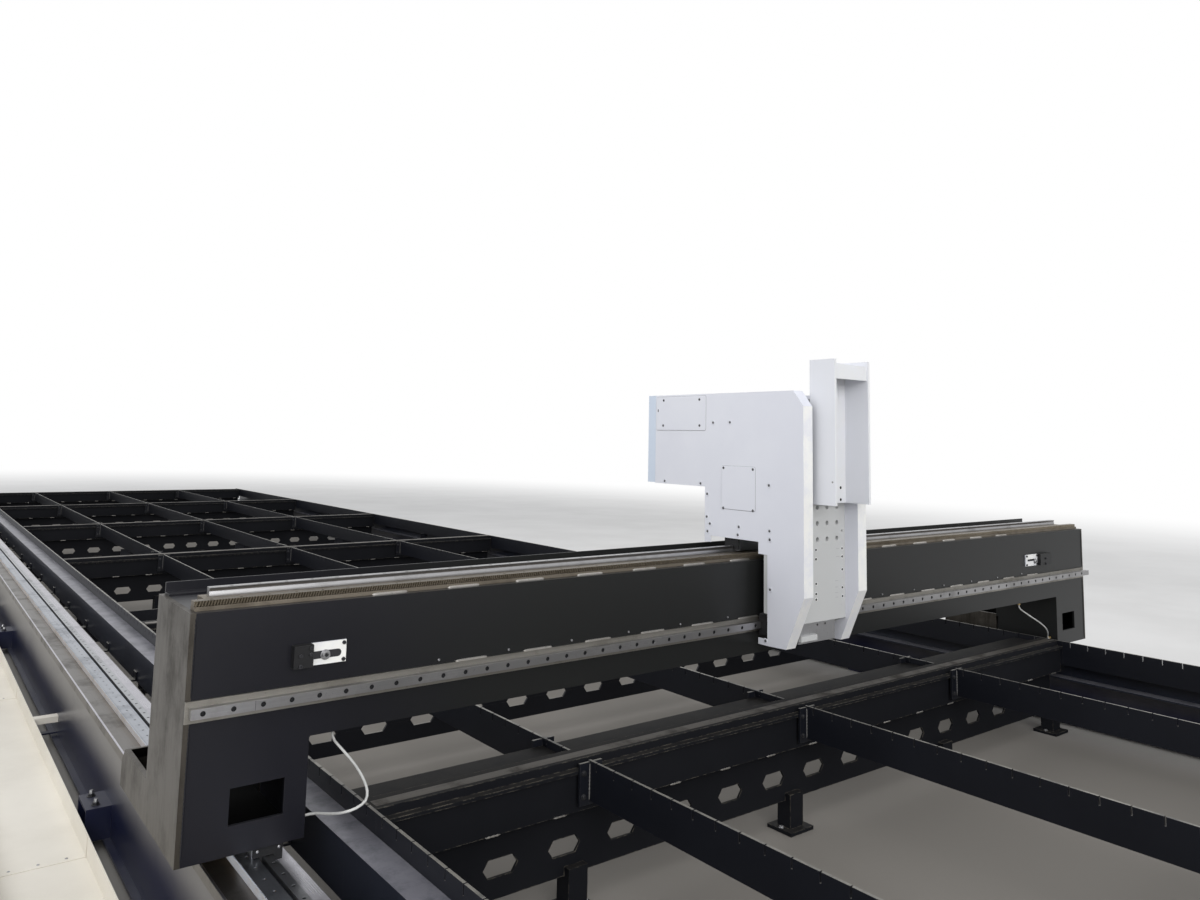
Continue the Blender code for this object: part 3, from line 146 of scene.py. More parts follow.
def loft(rings: np.ndarray, capped: bool = True, closed_path: bool = False) -> Form:
    """Skin a grid of rings: point(i, j) is point j of ring i, and each cell of the grid is a face.

    Args:
        rings: Array of rings by points by 3.
        capped: Whether the first and last rings are closed with a face.
        closed_path: Whether the last ring joins the first.

    Returns:
        The skinned form.
    """
    count, sides = rings.shape[:2]
    i = np.arange(count if closed_path else count - 1)[:, None]
    j = np.arange(sides)[None]
    k = (i + 1) % count
    n = (j + 1) % sides
    quads = np.stack([i * sides + j, i * sides + n, k * sides + n, k * sides + j], axis=-1).reshape(-1, 4)
    faces = [quads]
    if capped and not closed_path:
        faces.append(np.arange(sides)[None, ::-1])
        faces.append((count - 1) * sides + np.arange(sides)[None])
    return Form(rings.reshape(-1, 3).astype(float), faces)


def lifted(outline: Sequence[Sequence[float]], axis: Axis, along: float) -> np.ndarray:
    """Place a flat outline across an axis: its two columns go to the axis's two other directions."""
    flat = np.asarray(outline, float)
    ring = np.empty((len(flat), 3))
    ring[:, axis.value[0]] = along
    ring[:, axis.value[1]] = flat[:, 0]
    ring[:, axis.value[2]] = flat[:, 1]
    return ring


def prism(outline: Sequence[Sequence[float]], axis: Axis, start: float, end: float) -> Form:
    """Push an outline along an axis: a loft of two equal rings."""
    return loft(np.stack([lifted(outline, axis, start), lifted(outline, axis, end)]))


def block(low: Sequence[float], high: Sequence[float]) -> Form:
    """Box between two corners, as a rectangle pushed along Z."""
    outline = ((low[0], low[1]), (high[0], low[1]), (high[0], high[1]), (low[0], high[1]))
    return prism(outline, Axis.Z, low[2], high[2])


def turned(profile: Sequence[Sequence[float]], axis: Axis, centre: Sequence[float], sides: int = 12) -> Form:
    """Turn a profile about an axis: point = centre + radius * (cos t, sin t) across it + height along it.

    Args:
        profile: Rows of radius and height, in order along the axis.
        axis: The axis that it is turned about.
        centre: The point of the axis that heights are counted from.
        sides: How many flats the turn has.

    Returns:
        The turned form, closed at both ends.
    """
    shape = np.asarray(profile, float)
    turn = math.tau * (np.arange(sides) + 0.5) / sides
    rings = np.empty((len(shape), sides, 3))
    rings[..., axis.value[0]] = shape[:, 1, None]
    rings[..., axis.value[1]] = shape[:, 0, None] * np.cos(turn)
    rings[..., axis.value[2]] = shape[:, 0, None] * np.sin(turn)
    return loft(rings + np.asarray(centre, float))


def swept(path: np.ndarray, radius: float, sides: int = 10) -> Form:
    """Carry a circle along a path: ring = path + radius * (cos t * side + sin t * up), square to the path.

    Args:
        path: Points of the centre line.
        radius: Radius of the tube.
        sides: How many flats the circle has.

    Returns:
        The tube, closed at both ends.
    """
    along = np.gradient(path, axis=0)
    along /= np.linalg.norm(along, axis=1, keepdims=True)
    reference = np.array((0.31, 0.92, 0.24))
    side = np.cross(along, reference)
    side /= np.linalg.norm(side, axis=1, keepdims=True)
    up = np.cross(side, along)
    turn = math.tau * np.arange(sides) / sides
    ring = side[:, None] * np.cos(turn)[None, :, None] + up[:, None] * np.sin(turn)[None, :, None]
    return loft(path[:, None] + radius * ring)


def standing(outline: Sequence[Sequence[float]], axis: Axis, centre: Sequence[float], radius: float = 1.0,
             way: float = 1.0, sides: int = 12) -> Form:
    """Turn an outline that is given in shares of a radius, so that it stands off along an axis.

    Args:
        outline: Rows of radius and height, in shares of the radius.
        axis: The axis that it is turned about.
        centre: Where it stands.
        radius: The size of one share.
        way: Sign of the direction that it stands off in.
        sides: How many flats the turn has.

    Returns:
        The turned form.
    """
    return turned(np.array(outline) * radius * np.array((1.0, way)), axis, centre, sides)


def hex_bolt(axis: Axis, centre: Sequence[float], radius: float, way: float = 1.0) -> Form:
    """Washer and chamfered hexagon head."""
    washer = ((1.25, 0.0), (1.30, 0.05), (1.30, 0.17), (1.22, 0.20))
    cap = ((1.0, 0.18), (1.0, 0.80), (0.84, 0.92))
    return standing(washer, axis, centre, radius, way, 14) + standing(cap, axis, centre, radius, way, 6)


def socket_screw(axis: Axis, centre: Sequence[float], radius: float, way: float = 1.0) -> Form:
    """Cap screw: round head with a sunk six-sided socket, as one turned outline that folds inwards."""
    outline = ((1.0, 0.0), (1.0, 0.72), (0.88, 0.84), (0.52, 0.84), (0.50, 0.30))
    return standing(outline, axis, centre, radius, way)


def low_screw(axis: Axis, centre: Sequence[float], radius: float, way: float = 1.0) -> Form:
    """Low button screw with a small socket, for thin sheet."""
    outline = ((1.0, 0.0), (0.96, 0.16), (0.72, 0.34), (0.40, 0.40), (0.36, 0.12))
    return standing(outline, axis, centre, radius, way)


def bead(start: Sequence[float], end: Sequence[float], size: float, ripple: float = 0.18,
         step: float = 0.006) -> Form:
    """Weld bead: rings along a line, whose radius = size * (1 + ripple * sin(place / step)), tapered at the ends.

    Args:
        start: First end of its line.
        end: Last end.
        size: Radius of the bead.
        ripple: Share by which the radius swells and narrows.
        step: Length of a ripple.

    Returns:
        The bead.
    """
    start, end = np.asarray(start, float), np.asarray(end, float)
    length = float(np.linalg.norm(end - start))
    share = np.linspace(0.0, 1.0, max(6, int(2.0 * length / step)))
    along = (end - start) / length
    side = np.cross(along, (0.36, 0.48, 0.80))
    side /= np.linalg.norm(side)
    up = np.cross(side, along)
    turn = math.tau * np.arange(6) / 6.0
    ring = side * np.cos(turn)[:, None] + up * np.sin(turn)[:, None]
    taper = np.sqrt(np.clip(1.0 - np.abs(2.0 * share - 1.0) ** 12, 0.05, 1.0))
    radius = size * taper * (1.0 + ripple * np.sin(share * length / step * math.tau))
    return loft(start + share[:, None, None] * (end - start) + ring[None] * radius[:, None, None])


@dataclass
class DrilledBar:
    """Bar with a row of sunk round holes in its top face, each filled by a plug."""

    outline: Sequence[Sequence[float]]
    first: float
    pitch: float
    count: int
    length: float
    hole: float = 0.0058
    depth: float = 0.0042
    corners: int = 16

    def form(self, origin: Sequence[float], along: np.ndarray, across: np.ndarray, outward: np.ndarray) -> Form:
        """Lay out the bar: point = origin + u * along + v * across + w * outward.

        The outline's rings stand at the ends and between the holes. Each top face is a fan from its four corners
        to the circle (u, v) = centre + hole * (cos t, sin t), which is carried down to the hole's floor.

        Args:
            origin: Place of u = v = w = 0, the start of the top face's middle line.
            along: Direction of the bar.
            across: Direction across its top face.
            outward: Direction away from its top face.

        Returns:
            The bar as one closed form.
        """
        shape = np.asarray(self.outline, float)
        corners = len(shape)
        inner = self.first + self.pitch * (np.arange(self.count + 1) - 0.5)
        inner = np.clip(inner, 0.003, self.length - 0.003)
        stations = np.concatenate(((0.0,), inner, (self.length,)))
        rings = np.empty((len(stations), corners, 3))
        rings[..., 0] = stations[:, None]
        rings[..., 1:] = shape[None]
        i = np.arange(len(stations) - 1)[:, None]
        j = np.arange(corners - 1)[None]
        walls = np.stack([i * corners + j, i * corners + j + 1, (i + 1) * corners + j + 1,
                          (i + 1) * corners + j], axis=-1).reshape(-1, 4)
        ends = np.array((0, len(stations) - 2))
        plain = np.stack([ends * corners, ends * corners + corners - 1, (ends + 1) * corners + corners - 1,
                          (ends + 1) * corners], axis=-1)
        caps = np.stack([np.arange(corners), (len(stations) - 1) * corners + np.arange(corners)])
        turn = math.tau * np.arange(self.corners) / self.corners
        circle = np.stack([np.cos(turn), np.sin(turn)], axis=-1) * self.hole
        middles = self.first + self.pitch * np.arange(self.count)
        holes = np.zeros((self.count, 2, self.corners, 3))
        holes[..., 0] = middles[:, None, None] + circle[None, None, :, 0]
        holes[..., 1] = circle[None, None, :, 1]
        holes[:, 1, :, 2] = -self.depth
        base = rings.shape[0] * corners + 2 * self.corners * np.arange(self.count)[:, None]
        ring_at = np.arange(1, self.count + 1)[:, None] * corners
        tile = np.concatenate([ring_at + corners, ring_at, ring_at + corners - 1,
                               ring_at + 2 * corners - 1], axis=1)
        quarter = self.corners // 4
        k = np.arange(self.corners)
        after = (k + 1) % self.corners
        fans = np.stack([tile[:, k // quarter], base + k, base + after], axis=-1).reshape(-1, 3)
        q = np.arange(4)
        sides = np.stack([tile[:, q], base + ((q + 1) * quarter) % self.corners, tile[:, (q + 1) % 4]],
                         axis=-1).reshape(-1, 3)
        cups = np.stack([base + k, base + after, base + self.corners + after, base + self.corners + k],
                        axis=-1).reshape(-1, 4)
        floors = base + self.corners + k[None]
        local = np.vstack((rings.reshape(-1, 3), holes.reshape(-1, 3)))
        basis = np.stack((along, across, outward))
        return Form(local @ basis + np.asarray(origin, float),
                    [walls, plain, caps, fans, sides, cups, floors])

    def plugs(self, origin: Sequence[float], along: np.ndarray, outward: np.ndarray) -> Form:
        """Set a low turned plug in every hole: a disc with a rounded rim, just under the bar's top face."""
        index = int(np.argmax(np.abs(outward)))
        inner = self.hole - 0.0002
        outline = ((inner, -self.depth + 0.0002), (inner, -0.0016), (0.86 * inner, -0.0010),
                   (0.45 * inner, -0.0010), (0.40 * inner, -0.0022))
        one = standing(outline, list(Axis)[index], origin, way=float(outward[index]))
        places = self.first + self.pitch * np.arange(self.count)
        return one.repeated(places[:, None] * along[None])


def rail_outline(half: float, height: float) -> list[tuple[float, float]]:
    """Section of a linear guide rail from one top corner round to the other, with a ball groove on each flank."""
    neck = 0.16 * half
    flank = [(half, 0.0), (half, -0.20 * height), (half - neck, -0.33 * height), (half - neck, -0.50 * height),
             (half, -0.64 * height), (half, -height)]
    return flank + [(-v, w) for v, w in reversed(flank)]


def tooth_row(origin: Sequence[float], along: np.ndarray, out: np.ndarray, up: np.ndarray, length: float,
              pitch: float, depth: float, height: float, slant: float = 0.30) -> Form:
    """Row of slanted rack teeth: one trapezium, pushed up along a slanted line, and copied at every pitch.

    Args:
        origin: Root line's first end, at the teeth's foot.
        along: Direction of the row.
        out: Direction that the teeth point in.
        up: Direction of their width.
        length: Length of the row.
        pitch: Distance from tooth to tooth.
        depth: How far the teeth stand out.
        height: Their width.
        slant: Sideways step for each unit of width.

    Returns:
        All the teeth.
    """
    flat = np.array(((0.06, -0.35), (0.94, -0.35), (0.94, 0.0), (0.70, 1.0), (0.30, 1.0), (0.06, 0.0)))
    ring = flat[:, :1] * pitch * along + flat[:, 1:] * depth * out
    one = loft(np.stack([ring, ring + height * up + slant * height * along]))
    count = int((length - slant * height) / pitch)
    return Form(one.points + np.asarray(origin, float), one.faces).repeated(
        np.arange(count)[:, None] * pitch * along[None])


def half_windows(centres: Sequence[float], middle: float, edge: float, half: float,
                 chamfer: float) -> list[tuple[float, float]]:
    """Edge of a plate split along its windows' middle line: straight runs, with half a window at each centre."""
    line: list[tuple[float, float]] = []
    for centre in sorted(centres):
        line += [(centre - half, middle), (centre - half + chamfer, edge), (centre + half - chamfer, edge),
                 (centre + half, middle)]
    return line


def rounded_plate(low: Sequence[float], high: Sequence[float], radius: float) -> np.ndarray:
    """Outline of a plate with round corners: corner centre + radius * (cos t, sin t), a quarter turn at each."""
    turn = np.linspace(0.0, math.pi / 2.0, 7)
    centres = ((high[0] - radius, high[1] - radius), (low[0] + radius, high[1] - radius),
               (low[0] + radius, low[1] + radius), (high[0] - radius, low[1] + radius))
    arcs = [np.stack([np.cos(turn + k * math.pi / 2.0), np.sin(turn + k * math.pi / 2.0)], -1) * radius
            + np.asarray(centre) for k, centre in enumerate(centres)]
    return np.vstack(arcs)


def linked(name: str, data: bpy.types.ID) -> bpy.types.Object:
    """Make an object from its data, and put it in the scene."""
    item = bpy.data.objects.new(name, data)
    bpy.context.scene.collection.objects.link(item)
    return item


def make_piece(form: Form, name: str, material: bpy.types.Material, body: Body,
               replaces: Sequence[str] = (), bevel: float = 0.0,
               smooth: float = SMOOTH_ANGLE) -> bpy.types.Object:
    """Turn a form into a piece that rides on a body, moved from the machine's centre into the frame.

    Args:
        form: The mesh in the making, from the machine's centre plane and the gantry's front rail face.
        name: The piece's name.
        material: Its material.
        body: The body that it moves with.
        replaces: CAD nodes that it stands for.
        bevel: Width of the rounded edges, zero for none.
        smooth: Angle in degrees under which faces shade as one.

    Returns:
        The new object.
    """
    data = bpy.data.meshes.new(name)
    sizes = np.concatenate([np.full(len(group), group.shape[1]) for group in form.faces])
    corners = np.concatenate([group.reshape(-1) for group in form.faces])
    data.vertices.add(len(form.points))
    data.vertices.foreach_set("co", (form.points + CENTRE).astype(np.float32).reshape(-1))
    data.loops.add(len(corners))
    data.loops.foreach_set("vertex_index", corners.astype(np.int32))
    data.polygons.add(len(sizes))
    data.polygons.foreach_set("loop_start", (np.cumsum(sizes) - sizes).astype(np.int32))
    data.update(calc_edges=True)
    data.validate()
    fix_normals(data)
    data.polygons.foreach_set("use_smooth", np.ones(len(data.polygons), bool))
    data.set_sharp_from_angle(angle=math.radians(smooth))
    data.materials.append(material)
    item = linked(name, data)
    if bevel:
        rounding = item.modifiers.new("rounding", "BEVEL")
        rounding.width = bevel
        rounding.segments = 2
        rounding.limit_method = "ANGLE"
        rounding.angle_limit = math.radians(BEVEL_ANGLE)
        rounding.harden_normals = False
    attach(item, body.value)
    if replaces:
        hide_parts(*replaces)
    LOG.info("%s: %d faces on %s", name, len(data.polygons), body.value)
    return item


def fix_normals(data: bpy.types.Mesh) -> None:
    """Turn the faces of every closed shell outwards."""
    import bmesh

    work = bmesh.new()
    work.from_mesh(data)
    bmesh.ops.recalc_face_normals(work, faces=work.faces)
    work.to_mesh(data)
    work.free()


class Graph:
    """Short calls for adding and joining shader nodes."""

    def __init__(self, tree: bpy.types.NodeTree) -> None:
        """Keep the tree that the nodes go into."""
        self.tree = tree

    def add(self, kind: str, settings: dict | None = None, **inputs: object) -> bpy.types.Node:
        """Add a node, with its settings and its inputs' values or links.

        Args:
            kind: The node's type, without its common prefix.
            settings: Attributes of the node.
            **inputs: Input names, with an underscore for each space, and a value or an output socket.

        Returns:
            The node.
        """
        node = self.tree.nodes.new("ShaderNode" + kind)
        for name, value in (settings or {}).items():
            setattr(node, name, value)
        for name, value in inputs.items():
            self.feed(node, name.replace("_", " "), value)
        return node

    def join(self, value: bpy.types.NodeSocket, socket: bpy.types.NodeSocket) -> None:
        """Link an output socket to an input socket."""
        self.tree.links.new(value, socket)

    def feed(self, node: bpy.types.Node, name: str | int, value: object) -> None:
        """Link a socket to an input, or set the input's value."""
        socket = node.inputs[name]
        if isinstance(value, bpy.types.NodeSocket):
            self.join(value, socket)
        else:
            socket.default_value = value

    def place(self) -> bpy.types.NodeSocket:
        """Read the shaded point in the object's own coordinates."""
        return self.add("TexCoord").outputs["Object"]

    def parts(self, vector: bpy.types.NodeSocket) -> bpy.types.bpy_prop_collection:
        """Split a vector into its X, Y and Z outputs."""
        return self.add("SeparateXYZ", Vector=vector).outputs

    def normal(self) -> bpy.types.NodeSocket:
        """Read the surface's own normal."""
        return self.add("NewGeometry").outputs["Normal"]

    def rounded(self, radius: object) -> bpy.types.NodeSocket:
        """Read a normal that is rounded over edges by a radius."""
        return self.add("Bevel", {"samples": BEVEL_SAMPLES}, Radius=radius).outputs[0]

    def dot(self, first: bpy.types.NodeSocket, second: bpy.types.NodeSocket) -> bpy.types.NodeSocket:
        """Multiply two vectors to a number: their dot product."""
        node = self.add("VectorMath", {"operation": "DOT_PRODUCT"})
        self.feed(node, 0, first)
        self.feed(node, 1, second)
        return node.outputs["Value"]

    def mix_shaders(self, share: object, first: bpy.types.Node, second: bpy.types.Node) -> bpy.types.NodeSocket:
        """Blend the first outputs of two shader nodes by a share."""
        node = self.add("MixShader")
        for index, value in enumerate((share, first.outputs[0], second.outputs[0])):
            self.feed(node, index, value)
        return node.outputs[0]

    def math(self, operation: str, first: object, second: object = 0.0,
             clamp: bool = False) -> bpy.types.NodeSocket:
        """Join two numbers with one operation."""
        node = self.add("Math", {"operation": operation, "use_clamp": clamp})
        self.feed(node, 0, first)
        self.feed(node, 1, second)
        return node.outputs[0]

    def span(self, value: object, low: float, high: float, to_low: float = 0.0,
             to_high: float = 1.0) -> bpy.types.NodeSocket:
        """Map a range of a number smoothly onto another, and hold it inside."""
        node = self.add("MapRange", {"interpolation_type": "SMOOTHSTEP"})
        for name, number in (("Value", value), ("From Min", low), ("From Max", high), ("To Min", to_low),
                             ("To Max", to_high)):
            self.feed(node, name, number)
        return node.outputs["Result"]

    def mix(self, share: object, first: object, second: object) -> bpy.types.NodeSocket:
        """Blend two colours by a share."""
        node = self.add("Mix", {"data_type": "RGBA"})
        self.feed(node, 0, share)
        self.feed(node, 6, first)
        self.feed(node, 7, second)
        return node.outputs[2]

    def noise(self, where: bpy.types.NodeSocket, scale: object, detail: float = 3.0, rough: float = 0.5,
              stretch: Sequence[float] = (1.0, 1.0, 1.0)) -> bpy.types.NodeSocket:
        """Read fractal noise at a place, stretched by a scale along each axis."""
        mapped = self.add("Mapping", Vector=where, Scale=tuple(stretch)).outputs[0]
        return self.add("TexNoise", Vector=mapped, Scale=scale, Detail=detail, Roughness=rough).outputs[0]


def new_group(name: str, inputs: dict[str, float], outputs: dict[str, str]) -> tuple[Graph, dict, dict]:
    """Start a shader node group with named sockets.

    Args:
        name: The group's name.
        inputs: Names of number inputs, with their usual values.
        outputs: Names of outputs, with their socket types.

    Returns:
        The graph, the group's inputs by name, and the group's output sockets by name.
    """
    tree = bpy.data.node_groups.new(name, "ShaderNodeTree")
    for label, value in inputs.items():
        socket = tree.interface.new_socket(name=label, in_out="INPUT", socket_type="NodeSocketFloat")
        socket.default_value = value
    for label, kind in outputs.items():
        tree.interface.new_socket(name=label, in_out="OUTPUT", socket_type=kind)
    source = tree.nodes.new("NodeGroupInput")
    # Width of the painted shade rim round each access plate.
    sink = tree.nodes.new("NodeGroupOutput")
    return Graph(tree), {n: source.outputs[n] for n in inputs}, {n: sink.inputs[n] for n in outputs}


class Effects:
    """The shader groups that several finishes share, each built once."""

    def __init__(self) -> None:
        """Build every group."""
        self.edge_wear = self._edge_wear_and_glint()
        self.dust = self._dust()
        self.grain = self._grain()
        self.brushing = self._brushing()
        self.rubbed_and_lit = self._rubbed_and_lit()

    @staticmethod
    def _edge_wear_and_glint() -> bpy.types.NodeTree:
        """Mask of edges in a lighter colour, partly real wear and partly a painted highlight where light catches them:
        how far a rounded normal turns from the true one, broken up by noise.
        """
        graph, given, out = new_group("edge_wear", {"Radius": 0.003, "Amount": 0.5}, {"Mask": FLOAT})
        place = graph.place()
        alike = graph.dot(graph.rounded(given["Radius"]), graph.normal())
        turn = graph.span(graph.math("SUBTRACT", 1.0, alike), 0.02, 0.22)
        broken = graph.span(graph.noise(place, 38.0, 4.0, 0.65), 0.40, 0.66)
        worn = graph.math("MULTIPLY", graph.math("MULTIPLY", turn, broken), given["Amount"], True)
        graph.join(worn, out["Mask"])
        return graph.tree

    @staticmethod
    def _dust() -> bpy.types.NodeTree:
        """Mask of dust: where the surface looks up, in soft patches."""
        graph, given, out = new_group("settled_dust", {"Amount": 0.3, "Scale": 2.5}, {"Mask": FLOAT})
        place = graph.place()
        flat = graph.span(graph.parts(graph.normal())["Z"], 0.25, 0.95)
        patches = graph.span(graph.noise(place, given["Scale"], 6.0, 0.6), 0.32, 0.72)
        fine = graph.span(graph.noise(place, 160.0, 2.0, 0.5), 0.30, 0.75, 0.55, 1.0)
        dusty = graph.math("MULTIPLY", graph.math("MULTIPLY", flat, patches), fine)
        graph.join(graph.math("MULTIPLY", dusty, given["Amount"], True), out["Mask"])
        return graph.tree

    @staticmethod
    def _grain() -> bpy.types.NodeTree:
        """Paint skin: fine orange-peel height, and broad cloudy variation for colour and gloss."""
        graph, given, out = new_group("paint_grain", {"Scale": 420.0, "Cloud Scale": 1.4},
                                      {"Height": FLOAT, "Cloud": FLOAT, "Smear": FLOAT})
        place = graph.place()
        graph.join(graph.noise(place, given["Scale"], 2.0, 0.55), out["Height"])
        cloud = graph.span(graph.noise(place, given["Cloud Scale"], 5.0, 0.62), 0.30, 0.70)
        graph.join(cloud, out["Cloud"])
        smear = graph.span(graph.noise(place, 3.0, 6.0, 0.7, (1.0, 1.0, 4.5)), 0.54, 0.74)
        graph.join(smear, out["Smear"])
        return graph.tree

    @staticmethod
    def _brushing() -> bpy.types.NodeTree:
        """Machined lines across a long piece, with stains and oil: lines are noise squeezed along one axis."""
        graph, given, out = new_group(
            "machine_lines", {"Across X": 1.0, "Across Y": 1.0, "Across Z": 1.0, "Stain Scale": 6.0},
            {"Lines": FLOAT, "Stain": FLOAT, "Spots": FLOAT})
        place = graph.place()
        parts = graph.parts(place)
        scaled = {name: graph.math("MULTIPLY", parts[name], given["Across " + name]) for name in "XYZ"}
        squeezed = graph.add("CombineXYZ", **scaled).outputs[0]
        graph.join(graph.noise(squeezed, 1.0, 4.0, 0.7), out["Lines"])
        stain = graph.span(graph.noise(place, given["Stain Scale"], 6.0, 0.65), 0.45, 0.70)
        graph.join(stain, out["Stain"])
        spots = graph.span(graph.noise(place, 85.0, 3.0, 0.6), 0.62, 0.74)
        graph.join(spots, out["Spots"])
        return graph.tree

    @staticmethod
    def _rubbed_and_lit() -> bpy.types.NodeTree:
        """Mask of faces that point one way, broken up by long scratches: real wear on the table, painted light and
        sheen on covers, ram, channels and rack.
        """
        graph, given, out = new_group("rubbed_faces", {"Toward X": 0.0, "Toward Y": 0.0, "Toward Z": 1.0,
                                                       "Amount": 0.8}, {"Mask": FLOAT})
        place = graph.place()
        way = graph.add("CombineXYZ", **{name: given["Toward " + name] for name in "XYZ"}).outputs[0]
        facing = graph.span(graph.dot(way, graph.normal()), 0.80, 0.95)
        broken = graph.span(graph.noise(place, 9.0, 6.0, 0.72), 0.30, 0.62, 0.25, 1.0)
        rubbed_and_lit = graph.math("MULTIPLY", graph.math("MULTIPLY", facing, broken), given["Amount"], True)
        graph.join(rubbed_and_lit, out["Mask"])
        return graph.tree

    def use(self, graph: Graph, tree: bpy.types.NodeTree, **inputs: float) -> bpy.types.Node:
        """Place one of the groups in a material's graph, with its own values."""
        node = graph.add("Group", {"node_tree": tree})
        for name, value in inputs.items():
            graph.feed(node, name.replace("_", " "), value)
        return node


def vector_inputs(prefix: str, vector: Sequence[float]) -> dict[str, float]:
    """Name a vector's three numbers as a group's inputs: the prefix, then the axis."""
    return {f"{prefix}_{axis}": value for axis, value in zip("XYZ", vector)}


def colour4(colour: Sequence[float]) -> tuple[float, float, float, float]:
    """Add full opacity to a colour."""
    return (colour[0], colour[1], colour[2], 1.0)


def start_material(name: str) -> tuple[bpy.types.Material, Graph, bpy.types.Node]:
    """Start a node material, and give it, its graph and its main shader."""
    material = bpy.data.materials.new(name)
    material.use_nodes = True
    graph = Graph(material.node_tree)
    return material, graph, material.node_tree.nodes["Principled BSDF"]


@dataclass(frozen=True)
class Paint:
    """Sprayed paint: cloudy colour, orange peel, lighter edges that are partly wear and partly painted highlight,
    smears and settled dust.
    """

    name: str
    colour: tuple[float, float, float]
    deep: tuple[float, float, float]
    roughness: float
    specular: float = 0.5
    peel: float = 0.06
    peel_scale: float = 420.0
    wear: float = 0.25
    wear_radius: float = 0.0025
    worn: tuple[float, float, float] = (0.30, 0.29, 0.28)
    dust: float = 0.25
    dust_colour: tuple[float, float, float] = (0.28, 0.27, 0.25)
    smear: float = 0.3
    coat: float = 0.0
    rounding: float = 0.0012
    # Faces that point one way take another colour: worn tops on the table and cross beams, painted light and sheen on
    # covers, ram and channels.
    rubbed_lit_way: tuple[float, float, float] = (0.0, 0.0, 0.0)
    rubbed_lit_share: float = 0.0
    rubbed_lit_metal: float = 0.75
    rubbed_lit_colour: tuple[float, float, float] = (0.34, 0.32, 0.29)
    # Second colour that takes over along one axis: a painted reflection up the rail sides, a plain shift of tone along
    # the beam.
    drift: tuple[float, float, float] | None = None
    drift_from: float = 0.0
    drift_to: float = 1.0
    drift_axis: str = "X"

    def build(self, effects: Effects) -> bpy.types.Material:
        """Build the material.

        Args:
            effects: The shared shader groups.

        Returns:
            The material.
        """
        material, graph, shader = start_material(self.name)
        grain = effects.use(graph, effects.grain, Scale=self.peel_scale, Cloud_Scale=1.3).outputs
        wear = effects.use(graph, effects.edge_wear, Radius=self.wear_radius, Amount=self.wear).outputs["Mask"]
        dust = effects.use(graph, effects.dust, Amount=self.dust, Scale=2.2).outputs["Mask"]
        base = graph.mix(grain["Cloud"], colour4(self.deep), colour4(self.colour))
        if self.drift is not None:
            base = graph.mix(self._drift_share(graph), base, colour4(self.drift))
        base = graph.mix(dust, base, colour4(self.dust_colour))
        base = graph.mix(wear, base, colour4(self.worn))
        if self.rubbed_lit_share:
            rubbed_and_lit = effects.use(graph, effects.rubbed_and_lit, **vector_inputs("Toward", self.rubbed_lit_way),
                                 Amount=self.rubbed_lit_share).outputs["Mask"]
            base = graph.mix(rubbed_and_lit, base, colour4(self.rubbed_lit_colour))
            graph.feed(shader, "Metallic", graph.math("MULTIPLY", rubbed_and_lit, self.rubbed_lit_metal))
        graph.feed(shader, "Base Color", base)
        rough = graph.math("ADD", self.roughness, graph.math("MULTIPLY", grain["Smear"], 0.16 * self.smear))
        rough = graph.math("ADD", rough, graph.math("MULTIPLY", dust, 0.35))
        graph.feed(shader, "Roughness", graph.math("MINIMUM", rough, 0.95))
        soft = graph.rounded(self.rounding)
        bump = graph.add("Bump", Strength=self.peel, Distance=0.001, Height=grain["Height"], Normal=soft)
        graph.feed(shader, "Normal", bump.outputs[0])
        shader.inputs["Specular IOR Level"].default_value = self.specular
        shader.inputs["Coat Weight"].default_value = self.coat
        return material

    def _drift_share(self, graph: Graph) -> bpy.types.NodeSocket:
        """Share of the second colour: it rises smoothly along one axis, with a cloudy border."""
        place = graph.place()
        along = graph.parts(place)[self.drift_axis]
        cloud = graph.math("SUBTRACT", graph.noise(place, 1.6, 4.0, 0.6), 0.5)
        swing = graph.math("MULTIPLY", cloud, 0.8 * (self.drift_to - self.drift_from))
        return graph.span(graph.math("ADD", along, swing), self.drift_from, self.drift_to)


